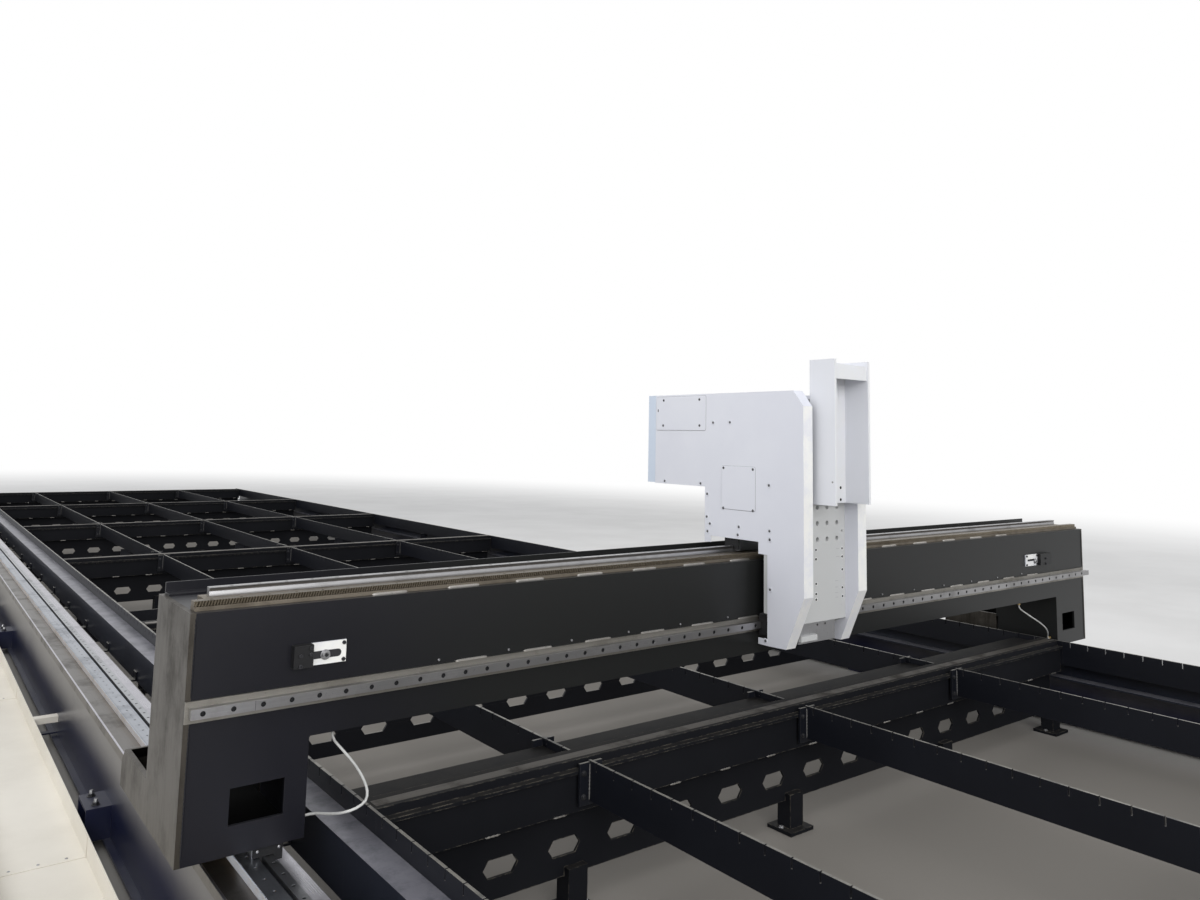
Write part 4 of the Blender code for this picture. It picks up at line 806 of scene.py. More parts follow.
@dataclass(frozen=True)
class Steel:
    """Bare steel: machined or rolled lines, stains, dull spots, and a painted sheen on the faces that point one way."""

    name: str
    colour: tuple[float, float, float]
    stain: tuple[float, float, float]
    roughness: float
    lines: tuple[float, float, float]
    stain_share: float = 0.5
    line_share: float = 0.35
    spots: float = 0.3
    metallic: float = 1.0
    relief: float = 0.15
    stain_scale: float = 6.0
    rounding: float = 0.0007
    # Faces that point this way take the sheen colour: a painted reflection.
    side: tuple[float, float, float] = (0.0, 0.0, 0.0)
    sheen_share: float = 0.0
    sheen_colour: tuple[float, float, float] = (0.0, 0.0, 0.0)

    def build(self, effects: Effects) -> bpy.types.Material:
        """Build the material.

        Args:
            effects: The shared shader groups.

        Returns:
            The material.
        """
        material, graph, shader = start_material(self.name)
        marks = effects.use(graph, effects.brushing, **vector_inputs("Across", self.lines),
                            Stain_Scale=self.stain_scale).outputs
        shade = graph.math("MULTIPLY", graph.math("SUBTRACT", marks["Lines"], 0.5), self.line_share * 2.0)
        stained = graph.math("MULTIPLY", marks["Stain"], self.stain_share)
        base = graph.mix(graph.math("ADD", stained, shade, True), colour4(self.colour), colour4(self.stain))
        spots = graph.math("MULTIPLY", marks["Spots"], self.spots)
        base = graph.mix(spots, base, colour4([0.5 * value for value in self.stain]))
        # Painted sheen: faces that point one way are mixed towards the sheen colour.
        if self.sheen_share:
            facing = effects.use(graph, effects.rubbed_and_lit, **vector_inputs("Toward", self.side),
                                 Amount=self.sheen_share).outputs["Mask"]
            base = graph.mix(facing, base, colour4(self.sheen_colour))
        graph.feed(shader, "Base Color", base)
        rough = graph.math("ADD", self.roughness, graph.math("MULTIPLY", marks["Lines"], 0.12))
        rough = graph.math("ADD", rough, graph.math("MULTIPLY", stained, 0.22), True)
        graph.feed(shader, "Roughness", rough)
        metal = graph.math("SUBTRACT", self.metallic, graph.math("MULTIPLY", spots, 0.6), True)
        graph.feed(shader, "Metallic", metal)
        soft = graph.rounded(self.rounding)
        bump = graph.add("Bump", Strength=self.relief, Distance=0.0006, Height=marks["Lines"], Normal=soft)
        graph.feed(shader, "Normal", bump.outputs[0])
        return material


@dataclass(frozen=True)
class Nylon:
    """Milky plastic tube with faint scuffs."""

    name: str
    colour: tuple[float, float, float]
    roughness: float

    def build(self, effects: Effects) -> bpy.types.Material:
        """Build the material.

        Args:
            effects: The shared shader groups.

        Returns:
            The material.
        """
        material, graph, shader = start_material(self.name)
        grain = effects.use(graph, effects.grain, Scale=900.0, Cloud_Scale=18.0).outputs
        dim = [0.72 * value for value in self.colour]
        graph.feed(shader, "Base Color", graph.mix(grain["Cloud"], colour4(self.colour), colour4(dim)))
        rough = graph.span(grain["Smear"], 0.0, 1.0, self.roughness, self.roughness + 0.2)
        graph.feed(shader, "Roughness", rough)
        return material


class Finishes:
    """Every finish of the machine, built once and kept by name."""

    def __init__(self) -> None:
        """Build the shared effects and all the finishes."""
        self.effects = Effects()
        navy_dust = (0.20, 0.20, 0.21)
        paints = (
            Paint("beam_black_satin", (0.0090, 0.0090, 0.0130), (0.0065, 0.0065, 0.0095), 0.34, specular=0.32,
                  peel=0.05, wear=0.10, worn=(0.16, 0.15, 0.14), dust=0.20, dust_colour=(0.13, 0.13, 0.13),
                  drift=(0.0115, 0.0120, 0.0118), drift_from=-2.2, drift_to=-1.3),
            Paint("table_black_satin", (0.0085, 0.0095, 0.0140), (0.0055, 0.0062, 0.0095), 0.40, specular=0.30,
                  wear=0.30, worn=(0.20, 0.19, 0.18), dust=0.28, dust_colour=(0.13, 0.13, 0.13),
                  rubbed_lit_way=(0.0, 0.0, 1.0), rubbed_lit_share=0.85, rubbed_lit_colour=(0.34, 0.325, 0.29)),
            # Wide, strong edge colour: worn edges, and a painted highlight along the web's bottom edge.
            Paint("cross_beam_black", (0.0095, 0.0100, 0.0125), (0.0060, 0.0065, 0.0085), 0.62, specular=0.10,
                  wear=0.60, wear_radius=0.006, worn=(0.24, 0.215, 0.17), dust=0.10,
                  dust_colour=(0.10, 0.092, 0.08), rubbed_lit_way=(0.0, 0.0, 1.0), rubbed_lit_share=0.10,
                  rubbed_lit_colour=(0.13, 0.115, 0.09)),
            # Top faces lighter and metallic: painted sheen, besides the dust on top.
            Paint("channel_slate", (0.020, 0.023, 0.034), (0.012, 0.014, 0.022), 0.30, specular=0.42, wear=0.25,
                  worn=(0.24, 0.24, 0.25), dust=0.55, dust_colour=(0.24, 0.25, 0.27), rubbed_lit_way=(0.0, 0.0, 1.0),
                  rubbed_lit_share=0.55, rubbed_lit_colour=(0.40, 0.39, 0.44)),
            # Sides turn grey towards the top: a painted reflection of the pale surroundings on the gloss.
            Paint("rail_navy_gloss", (0.012, 0.014, 0.040), (0.008, 0.010, 0.028), 0.28, specular=0.40,
                  wear=0.20, worn=(0.22, 0.21, 0.22), dust=0.35, dust_colour=navy_dust,
                  drift=(0.135, 0.130, 0.130), drift_from=0.15, drift_to=0.36, drift_axis="Z"),
            Paint("tray_cream_satin", (0.80, 0.76, 0.68), (0.72, 0.68, 0.60), 0.42, wear=0.10,
                  worn=(0.45, 0.40, 0.34), dust=0.18, dust_colour=(0.46, 0.42, 0.36)),
            # Front faces take a lighter cream: painted light on the faces that look forward.
            Paint("cover_white_powder", (0.74, 0.75, 0.80), (0.69, 0.70, 0.76), 0.42, peel=0.10,
                  peel_scale=520.0, wear=0.03, worn=(0.55, 0.55, 0.58), dust=0.06, dust_colour=(0.50, 0.50, 0.52),
                  rubbed_lit_way=(0.0, -1.0, 0.0), rubbed_lit_share=0.85, rubbed_lit_metal=0.0,
                  rubbed_lit_colour=(0.87, 0.86, 0.81)),
            # Front faces take a warmer grey: painted light on the faces that look forward.
            Paint("ram_white_powder", (0.76, 0.77, 0.81), (0.72, 0.73, 0.77), 0.40, peel=0.10, peel_scale=520.0,
                  wear=0.05, dust=0.05, dust_colour=(0.50, 0.50, 0.52), rubbed_lit_way=(0.0, -1.0, 0.0),
                  rubbed_lit_share=0.55, rubbed_lit_metal=0.0, rubbed_lit_colour=(0.72, 0.72, 0.70)),
            Paint("back_cover_cool", (0.63, 0.70, 0.80), (0.58, 0.65, 0.76), 0.40, peel=0.10, peel_scale=520.0,
                  wear=0.03, dust=0.05, dust_colour=(0.50, 0.50, 0.52)),
            # Dark grey: painted shade round the access plates, and the face plate's scribed marks.
            Paint("gasket_grey", (0.38, 0.38, 0.40), (0.32, 0.32, 0.34), 0.60, wear=0.0, dust=0.0),
            Paint("plate_grey_powder", (0.56, 0.565, 0.56), (0.51, 0.515, 0.51), 0.48, peel=0.12, wear=0.15,
                  worn=(0.55, 0.54, 0.52), dust=0.10, dust_colour=(0.42, 0.40, 0.37)),
            Paint("stop_black", (0.012, 0.012, 0.013), (0.009, 0.009, 0.010), 0.45, specular=0.35, wear=0.2,
                  dust=0.15, dust_colour=(0.14, 0.14, 0.13)),
            # Near-black and dull: painted shade inside the legs.
            Paint("inside_black", (0.004, 0.004, 0.004), (0.006, 0.006, 0.006), 0.95, specular=0.05, wear=0.0,
                  dust=0.0, smear=0.0),
            # Black: real plugs in the rails, and painted shade in drawn holes and slots.
            Paint("plug_black", (0.010, 0.010, 0.011), (0.006, 0.006, 0.007), 0.60, specular=0.25, wear=0.0,
                  dust=0.0, smear=0.0),
            Paint("seal_rubber", (0.016, 0.016, 0.017), (0.011, 0.011, 0.012), 0.62, specular=0.28, wear=0.05,
                  dust=0.2, dust_colour=(0.10, 0.10, 0.10)),
            Paint("weld_grey", (0.20, 0.19, 0.18), (0.10, 0.10, 0.10), 0.46, wear=0.0, peel=0.3, peel_scale=240.0,
                  dust=0.05),
        )
        steels = (
            Steel("machined_steel_y", (0.42, 0.43, 0.45), (0.24, 0.24, 0.25), 0.24, (300.0, 3.0, 300.0)),
            Steel("machined_steel_x", (0.40, 0.395, 0.40), (0.20, 0.195, 0.19), 0.27, (3.0, 300.0, 300.0)),
            Steel("machined_steel_z", (0.46, 0.47, 0.48), (0.28, 0.28, 0.28), 0.26, (300.0, 300.0, 3.0)),
            Steel("lower_plate_steel", (0.55, 0.55, 0.56), (0.30, 0.30, 0.32), 0.36, (260.0, 260.0, 4.0),
                  stain_share=0.5),
            Steel("seat_steel", (0.17, 0.160, 0.150), (0.08, 0.075, 0.068), 0.30, (300.0, 3.0, 300.0),
                  stain_share=0.6, spots=0.4),
            Steel("top_pad_steel", (0.24, 0.21, 0.17), (0.10, 0.085, 0.065), 0.40, (4.0, 260.0, 260.0),
                  stain_share=0.7, spots=0.5),
            Steel("milled_pad_steel", (0.31, 0.295, 0.265), (0.14, 0.13, 0.11), 0.34, (4.0, 260.0, 260.0),
                  stain_share=0.6),
            Steel("rolled_plate_steel", (0.098, 0.089, 0.077), (0.032, 0.028, 0.023), 0.36, (42.0, 42.0, 5.0),
                  stain_share=0.75, line_share=0.70, spots=0.5, stain_scale=3.2),
            Steel("guide_block_steel", (0.20, 0.20, 0.21), (0.09, 0.09, 0.09), 0.36, (3.0, 240.0, 240.0),
                  metallic=0.85),
            # Faces towards minus X turn gold: a painted reflection on the rack's side.
            Steel("rack_steel", (0.40, 0.42, 0.46), (0.17, 0.18, 0.20), 0.26, (300.0, 4.0, 300.0),
                  side=(-1.0, 0.0, 0.0), sheen_share=3.0, sheen_colour=(0.80, 0.57, 0.30)),
            Steel("worn_band_steel", (0.19, 0.175, 0.155), (0.06, 0.054, 0.047), 0.42, (3.0, 240.0, 240.0),
                  stain_share=0.9, line_share=0.6, spots=0.4),
            # Light bluish steel: a machined land, and a painted highlight along the seat's outer edge.
            Steel("land_steel", (0.52, 0.51, 0.55), (0.34, 0.33, 0.36), 0.22, (300.0, 3.0, 300.0)),
            Steel("top_rack_steel", (0.17, 0.145, 0.11), (0.08, 0.065, 0.045), 0.30, (4.0, 300.0, 300.0)),
            Steel("screw_steel", (0.42, 0.42, 0.43), (0.20, 0.20, 0.20), 0.32, (60.0, 60.0, 60.0)),
            Steel("dull_screw", (0.13, 0.13, 0.135), (0.06, 0.06, 0.06), 0.40, (60.0, 60.0, 60.0), metallic=0.8),
            # Black screws, and painted shade of the left stop's slot.
            Steel("black_screw", (0.05, 0.05, 0.055), (0.02, 0.02, 0.02), 0.38, (60.0, 60.0, 60.0), metallic=0.7),
            Steel("weld_steel", (0.52, 0.50, 0.47), (0.26, 0.24, 0.21), 0.36, (90.0, 90.0, 90.0), stain_share=0.6,
                  spots=0.5, relief=0.4),
            Steel("brass_fitting", (0.62, 0.45, 0.20), (0.34, 0.23, 0.10), 0.30, (80.0, 80.0, 80.0)),
        )
        plastics = (Nylon("tube_nylon", (0.62, 0.62, 0.60), 0.38),)
        self.made = {finish.name: finish.build(self.effects) for finish in (*paints, *steels, *plastics)}

    def __getitem__(self, name: str) -> bpy.types.Material:
        """Give a finish's material by its name."""
        return self.made[name]


@dataclass
class Studio:
    """Camera at the photograph's viewing angle, soft lights, pale floor and white surround."""

    eye: tuple[float, float, float] = (-3.11471, -8.93759, 1.60491)
    right: tuple[float, float, float] = (0.788284, -0.615008, 0.019335)
    up: tuple[float, float, float] = (-0.081899, -0.073725, 0.99391)
    forward: tuple[float, float, float] = (0.609837, 0.785067, 0.108485)
    focal_share: float = 0.755728
    shift: tuple[float, float] = (-0.005544, -0.09139)
    sensor: float = 36.0
    clip: tuple[float, float] = (0.05, 200.0)
    floor_half: float = 60.0
    shade_across: tuple[float, float] = (3.3, 1.9)
    shade_along: tuple[float, float] = (11.0, 9.0)
    fade_scale: tuple[float, float, float] = (0.09, 0.055, 0.0)
    fade: tuple[float, float] = (0.75, 1.9)
    ambient: float = 0.74
    gloss_share: float = 0.55

    def build(self) -> None:
        """Set up the whole studio."""
        self._camera()
        self._floor()
        self._world()
        self._lamps()
        bpy.context.scene.view_settings.view_transform = "Standard"

    def _camera(self) -> None:
        """Stand the camera by its three axes: right, up, and away from the view."""
        lens = bpy.data.cameras.new("camera")
        lens.sensor_width = self.sensor
        lens.lens = self.sensor * self.focal_share
        lens.shift_x, lens.shift_y = self.shift
        lens.clip_start, lens.clip_end = self.clip
        camera = linked("camera", lens)
        columns = np.array((self.right, self.up, [-value for value in self.forward])).T
        matrix = Matrix.Identity(4)
        for row in range(3):
            for column in range(3):
                matrix[row][column] = columns[row, column]
            matrix[row][3] = self.eye[row]
        camera.matrix_world = matrix
        bpy.context.scene.camera = camera

    def _floor(self) -> None:
        """Lay the pale floor: a painted shadow darkens it under the table, and it fades into the white surround far
        away.
        """
        half = self.floor_half
        data = bpy.data.meshes.new("floor")
        corners = [(-half, -half, 0.0), (half, -half, 0.0), (half, half, 0.0), (-half, half, 0.0)]
        data.from_pydata(corners, [], [(0, 1, 2, 3)])
        floor = linked("floor", data)
        material, graph, shader = start_material("floor_pale")
        place = graph.place()
        parts = graph.parts(place)
        across, along = graph.math("ABSOLUTE", parts["X"]), graph.math("ABSOLUTE", parts["Y"])
        # Painted shadow: the colour darkens to brown-grey inside the table's footprint.
        under = graph.math("MULTIPLY", graph.span(across, *self.shade_across),
                           graph.span(along, *self.shade_along))
        cloud = graph.span(graph.noise(place, 0.7, 5.0, 0.6), 0.3, 0.7)
        pale = graph.mix(cloud, (0.68, 0.67, 0.655, 1.0), (0.74, 0.73, 0.715, 1.0))
        graph.feed(shader, "Base Color", graph.mix(under, pale, (0.20, 0.185, 0.165, 1.0)))
        shader.inputs["Roughness"].default_value = 0.85
        out = graph.tree.nodes["Material Output"]
        reach = graph.add("VectorMath", {"operation": "LENGTH"})
        graph.feed(reach, 0, graph.add("Mapping", Vector=place, Scale=self.fade_scale).outputs[0])
        seen = graph.math("MULTIPLY", graph.span(reach.outputs["Value"], *self.fade),
                          graph.add("LightPath").outputs["Is Camera Ray"])
        white = graph.add("Emission", Color=WHITE, Strength=1.0)
        graph.feed(out, 0, graph.mix_shaders(seen, shader, white))
        data.materials.append(material)

    def _world(self) -> None:
        """Light evenly from all around, and show white to the camera, to gloss and through glass."""
        world = bpy.data.worlds.new("surround")
        bpy.context.scene.world = world
        world.use_nodes = True
        graph = Graph(world.node_tree)
        graph.tree.nodes.clear()
        path = graph.add("LightPath").outputs
        gloss = graph.math("MULTIPLY", path["Is Glossy Ray"], self.gloss_share)
        seen = graph.math("MAXIMUM", path["Is Camera Ray"], gloss)
        seen = graph.math("MAXIMUM", seen, path["Is Transmission Ray"])
        soft = graph.add("Background", Color=(0.95, 0.97, 1.0, 1.0), Strength=self.ambient)
        white = graph.add("Background", Color=WHITE, Strength=1.0)
        graph.feed(graph.add("OutputWorld"), 0, graph.mix_shaders(seen, soft, white))

    def _lamps(self) -> None:
        """Hang long soft lamps over the machine, as a hall's skylights do."""
        rows = (
            ("skylight_left", (-6.5, -5.0, 6.0), (16.0, 5.0), 270.0, (0.5, -5.0, 0.8)),
            ("skylight_right", (7.5, -4.0, 8.5), (16.0, 5.0), 190.0, (0.0, -5.0, 0.6)),
            ("front_window", (-4.0, -17.0, 5.0), (9.0, 5.0), 720.0, (0.2, -6.5, 1.0)),
        )
        for name, place, size, power, target in rows:
            lamp = bpy.data.lights.new(name, "AREA")
            lamp.shape = "RECTANGLE"
            lamp.size, lamp.size_y = size
            lamp.energy = power
            item = linked(name, lamp)
            item.location = place
            item.visible_camera = False
            item.rotation_euler = (Vector(target) - Vector(place)).to_track_quat("-Z", "Y").to_euler()


@dataclass
class SubAssembly:
    """What every sub-assembly shares: the finishes, and short calls that make its pieces."""

    finishes: Finishes
    body: Body = Body.BED

    def piece(self, form: Form | list[Form], name: str, finish: str, slot: Slot, replaces: Sequence[str] = (),
              bevel: float = 0.0, smooth: float = SMOOTH_ANGLE) -> bpy.types.Object:
        """Make a piece of this sub-assembly's body in a named finish, from one form or a list of them."""
        whole = form if isinstance(form, Form) else merged(form)
        return make_piece(whole, name, self.finishes[finish], self.body, replaces, bevel, smooth)

    def drilled(self, bar: DrilledBar, origin: Sequence[float], ways: Sequence[np.ndarray], node: str,
                names: tuple[str, str], finishes: tuple[str, str], extra: Form | None = None,
                smooth: float = SMOOTH_ANGLE) -> None:
        """Make a drilled bar that stands for a CAD node, then the row of plugs in its holes.

        Args:
            bar: The bar.
            origin: Start of the top face's middle line.
            ways: Directions along the bar, across its top face, and away from it.
            node: The CAD node that the bar stands for.
            names: Names of the bar and of its plugs.
            finishes: Finishes of the bar and of its plugs.
            extra: A form that belongs to the bar, such as its teeth.
            smooth: Angle in degrees under which the bar's faces shade as one.
        """
        form = bar.form(origin, *ways)
        whole = form if extra is None else form + extra
        self.piece(whole, names[0], finishes[0], Slot.MACHINED, (node,), smooth=smooth)
        self.piece(bar.plugs(origin, ways[0], ways[2]), names[1], finishes[1], Slot.BLOCK)


@dataclass
class TableGrid(SubAssembly):
    """Worktable: bays of slotted slat bars between cross beams, with side channels and a windowed low plate."""

    first_beam: float = -3.14
    bay: float = 3.14
    bays: int = 6
    gap: float = 0.0003
    bars: tuple[float, ...] = (-2.065, -1.29496, -0.16499, 0.96497, 2.065)
    bar_half: float = 0.005
    top: float = 0.515
    depth: float = 0.130
    ledge_near: float = -0.080
    ledge_far: float = 0.200
    ledge_top: float = 0.487
    flange_far: float = 0.038
    web_near: float = -0.066
    shelf: float = 0.348
    slot_pitch: float = 0.0947
    slot_first: float = 0.270
    slot_clear: float = 0.012
    slot_half: float = 0.0025
    slot_depth: float = 0.028
    tongue_slot_depth: float = 0.017
    plate_half: float = 0.047
    plate: float = 0.010
    plate_low: float = 0.373
    plate_high: float = 0.511
    half_width: float = 2.160
    channel_inner: float = 2.0697
    channel_top: float = 0.455
    channel_bottom: float = 0.300
    channel_wall: float = 0.008
    channel_foot: float = 0.080
    low_top: float = 0.310
    low_bottom: float = 0.120
    low_post: float = 0.045
    low_reach: float = 0.391
    window: tuple[float, float, float, float] = (0.188, 0.245, 0.066, 0.020)
    window_pitch: float = 0.254
    window_firsts: tuple[float, float, float] = (-0.5305, -0.804, -1.083)
    window_reach: float = 1.899
    bolt: float = 0.0078
    bolt_side: float = 0.031
    bolt_heights: tuple[float, float] = (0.402, 0.478)
    weld_heights: tuple[float, float] = (0.388, 0.506)
    tie_span: tuple[float, float] = (2.1605, 2.2480)
    tie_heights: tuple[float, float, float] = (0.304, 0.312, 0.350)
    tie_length: float = 0.060
    tie_plate: float = 0.008
    tie_line: float = 2.205
    tie_bolt: float = 0.0085
    tie_first: float = 0.42
    tie_clear: float = 0.2
    tie_pitch: float = 0.785
    band_reach: float = 2.050
    band: tuple[float, float, float, float] = (-0.036, 0.008, 0.5149, 0.5153)
    stitch_places: tuple[float, float, float] = (-1.95, 1.96, 0.26)
    stitch_size: float = 0.0030
    anchor_step: float = 0.055
    anchor_height: float = 0.015

    def build(self) -> None:
        """Build every bay, then the small parts on the cross beams."""
        for index in range(self.bays):
            self._bay(index, self.first_beam + index * self.bay)
        self._beam_details()

    def _slots(self, beam: float, start: float, end: float) -> list[float]:
        """Give the places of the slat slots between two ends: slot_first + k * slot_pitch past the beam."""
        places = beam + self.slot_first + self.slot_pitch * np.arange(-5, 32)
        return list(places[(places > start + self.slot_clear) & (places < end - self.slot_clear)])

    def _slat(self, foot: Sequence[Sequence[float]], start: float, end: float, beam: float,
              tongue_end: float) -> list[tuple[float, float]]:
        """Side view of a slat bar: its foot, then its top edge with a narrow slot at every place."""
        line = [tuple(point) for point in foot] + [(end, self.top)]
        for place in reversed(self._slots(beam, start, end)):
            depth = self.tongue_slot_depth if place < tongue_end else self.slot_depth
            floor = self.top - depth
            line += [(place + self.slot_half, self.top), (place + self.slot_half, floor),
                     (place - self.slot_half, floor), (place - self.slot_half, self.top)]
        return line + [(start, self.top)]

    def _bay(self, index: int, beam: float) -> None:
        """Build one bay that starts at a cross beam."""
        last = index == self.bays - 1
        start = beam + self.ledge_far + self.gap
        end = beam + self.bay + self.ledge_near - self.gap
        tongue = beam + self.flange_far + self.gap
        side_start = beam + self.ledge_near
        side_end = beam + self.bay + (self.ledge_far if last else self.ledge_near - self.gap)
        low, ledge = self.top - self.depth, self.ledge_top + self.gap
        inner = self._slat(((tongue, ledge), (start, ledge), (start, low), (end, low)), tongue, end, beam, start)
        outer = self._slat(((side_start, low), (side_end, low)), side_start, side_end, beam, side_start)
        middle_bars = self.bars[1:-1]
        forms = [prism(inner if bar in middle_bars else outer, Axis.X, bar - self.bar_half, bar + self.bar_half)
                 for bar in self.bars]
        for bar in middle_bars:
            for near in (start, end - self.plate):
                forms.append(block((bar - self.plate_half, near, self.plate_low),
                                   (bar + self.plate_half, near + self.plate, self.plate_high)))
        forms += self._low_plate(beam + self.bay / 2.0)
        number = index + 1
        self.piece(forms, f"slat_frame_{number}", "table_black_satin", Slot.TABLE, (f"table_frame_{number}",))
        self.piece(self._channels(side_start, side_end), f"side_channels_{number}", "channel_slate", Slot.TABLE)
        self._plate_fasteners(f"bay_{number}", start + self.plate, end - self.plate)
        self._ties(f"bay_{number}", side_start, side_end)

    def _low_plate(self, middle: float) -> list[Form]:
        """Low plate across the bay, split along its windows' middle line, with a post up to every bar."""
        floor, roof, half, chamfer = self.window
        centre = (floor + roof) / 2.0
        edge = self.half_width - self.channel_wall / 2.0
        places = self._window_places()
        upper, lower = ([(-edge, centre)] + half_windows(places, centre, limit, half, chamfer) + [(edge, centre)]
                        for limit in (roof, floor))
        upper.append((edge, self.low_top))
        for bar in reversed(self.bars):
            right, left = min(bar + self.low_post, edge - self.gap), max(bar - self.low_post, self.gap - edge)
            upper += [(right, self.low_top), (right, self.low_reach), (left, self.low_reach), (left, self.low_top)]
        upper.append((-edge, self.low_top))
        lower += [(edge, self.low_bottom), (-edge, self.low_bottom)]
        return [prism(outline, Axis.Y, middle, middle + self.plate) for outline in (upper, lower)]

    def _window_places(self) -> list[float]:
        """Centres of the lightening windows: two runs outwards from the middle, and one between them."""
        right, middle, left = self.window_firsts
        run = self.window_pitch * np.arange(20)
        places = np.concatenate((right + run, left - run, (middle,)))
        return sorted(places[np.abs(places) < self.window_reach])

    def _channels(self, start: float, end: float) -> list[Form]:
        """Side channels: a C section pushed along the bay on each side."""
        forms = []
        roof, floor = self.channel_top - self.channel_wall, self.channel_bottom + self.channel_wall
        for side in Side:
            outer, inner = side.value * self.half_width, side.value * self.channel_inner
            web = outer - side.value * self.channel_wall
            foot = outer - side.value * self.channel_foot
            forms.append(prism((
                (outer, self.channel_top), (inner, self.channel_top), (inner, roof), (web, roof), (web, floor),
                (foot, floor), (foot, self.channel_bottom), (outer, self.channel_bottom)), Axis.Y, start, end))
        return forms

    def _plate_fasteners(self, name: str, near: float, far: float) -> None:
        """Bolts and weld beads of the bars' end plates."""
        bolts, beads = [], []
        low, high = self.weld_heights
        for bar in self.bars[1:-1]:
            for place, way in ((near, 1.0), (far, -1.0)):
                for side in (-self.bolt_side, self.bolt_side):
                    for height in self.bolt_heights:
                        bolts.append(hex_bolt(Axis.Y, (bar + side, place, height), self.bolt, way))
                    flank = bar + math.copysign(self.bar_half + 0.0015, side)
                    beads.append(bead((flank, place, low), (flank, place, high), 0.0026, 0.45, 0.0118))
        self.piece(bolts, name + "_plate_bolts", "black_screw", Slot.TABLE)
        self.piece(beads, name + "_plate_welds", "weld_grey", Slot.TABLE)

    def _ties(self, name: str, start: float, end: float) -> None:
        """Brackets that tie the side channels to the rails, with a bolt in each."""
        brackets, heads = [], []
        floor, sheet, roof = self.tie_heights
        for side in Side:
            low, high = side.span(*self.tie_span)
            inner = low if side is Side.RIGHT else high - self.tie_plate
            for place in np.arange(start + self.tie_first, end - self.tie_clear, self.tie_pitch):
                stop = place + self.tie_length
                brackets.append(block((low, place, floor), (high, stop, sheet)))
                brackets.append(block((inner, place, sheet), (inner + self.tie_plate, stop, roof)))
                spot = (side.value * self.tie_line, place + self.tie_length / 2.0, sheet)
                heads.append(hex_bolt(Axis.Z, spot, self.tie_bolt))
        self.piece(brackets, name + "_tie_brackets", "table_black_satin", Slot.TABLE, bevel=0.0008)
        self.piece(heads, name + "_tie_bolts", "black_screw", Slot.TABLE)

    def _beam_details(self) -> None:
        """Stitch welds under each cross beam's front web, worn bands on top, and anchor bolts at the feet."""
        stitches, dots, anchors, bands = [], [], [], []
        near, far, floor, roof = self.band
        for index in range(self.bays + 1):
            beam = self.first_beam + index * self.bay
            bands.append(block((-self.band_reach, beam + near, floor), (self.band_reach, beam + far, roof)))
            for place in np.arange(*self.stitch_places):
                for welds, line, first, last in ((stitches, beam + self.web_near, 0.0, 0.055),
                                                 (dots, beam - 0.002, 0.10, 0.13)):
                    welds.append(bead((place + first, line, self.shelf), (place + last, line, self.shelf),
                                      self.stitch_size, 0.3, 0.010))
            for bar in self.bars:
                for side in (-self.anchor_step, self.anchor_step):
                    anchors.append(hex_bolt(Axis.Z, (bar + side, beam + 0.005, self.anchor_height), 0.009))
        self.piece(stitches + dots, "cross_beam_welds", "weld_steel", Slot.TABLE)
        self.piece(bands, "cross_beam_worn_bands", "worn_band_steel", Slot.TABLE)
        self.piece(anchors, "cross_beam_anchor_bolts", "screw_steel", Slot.TABLE)


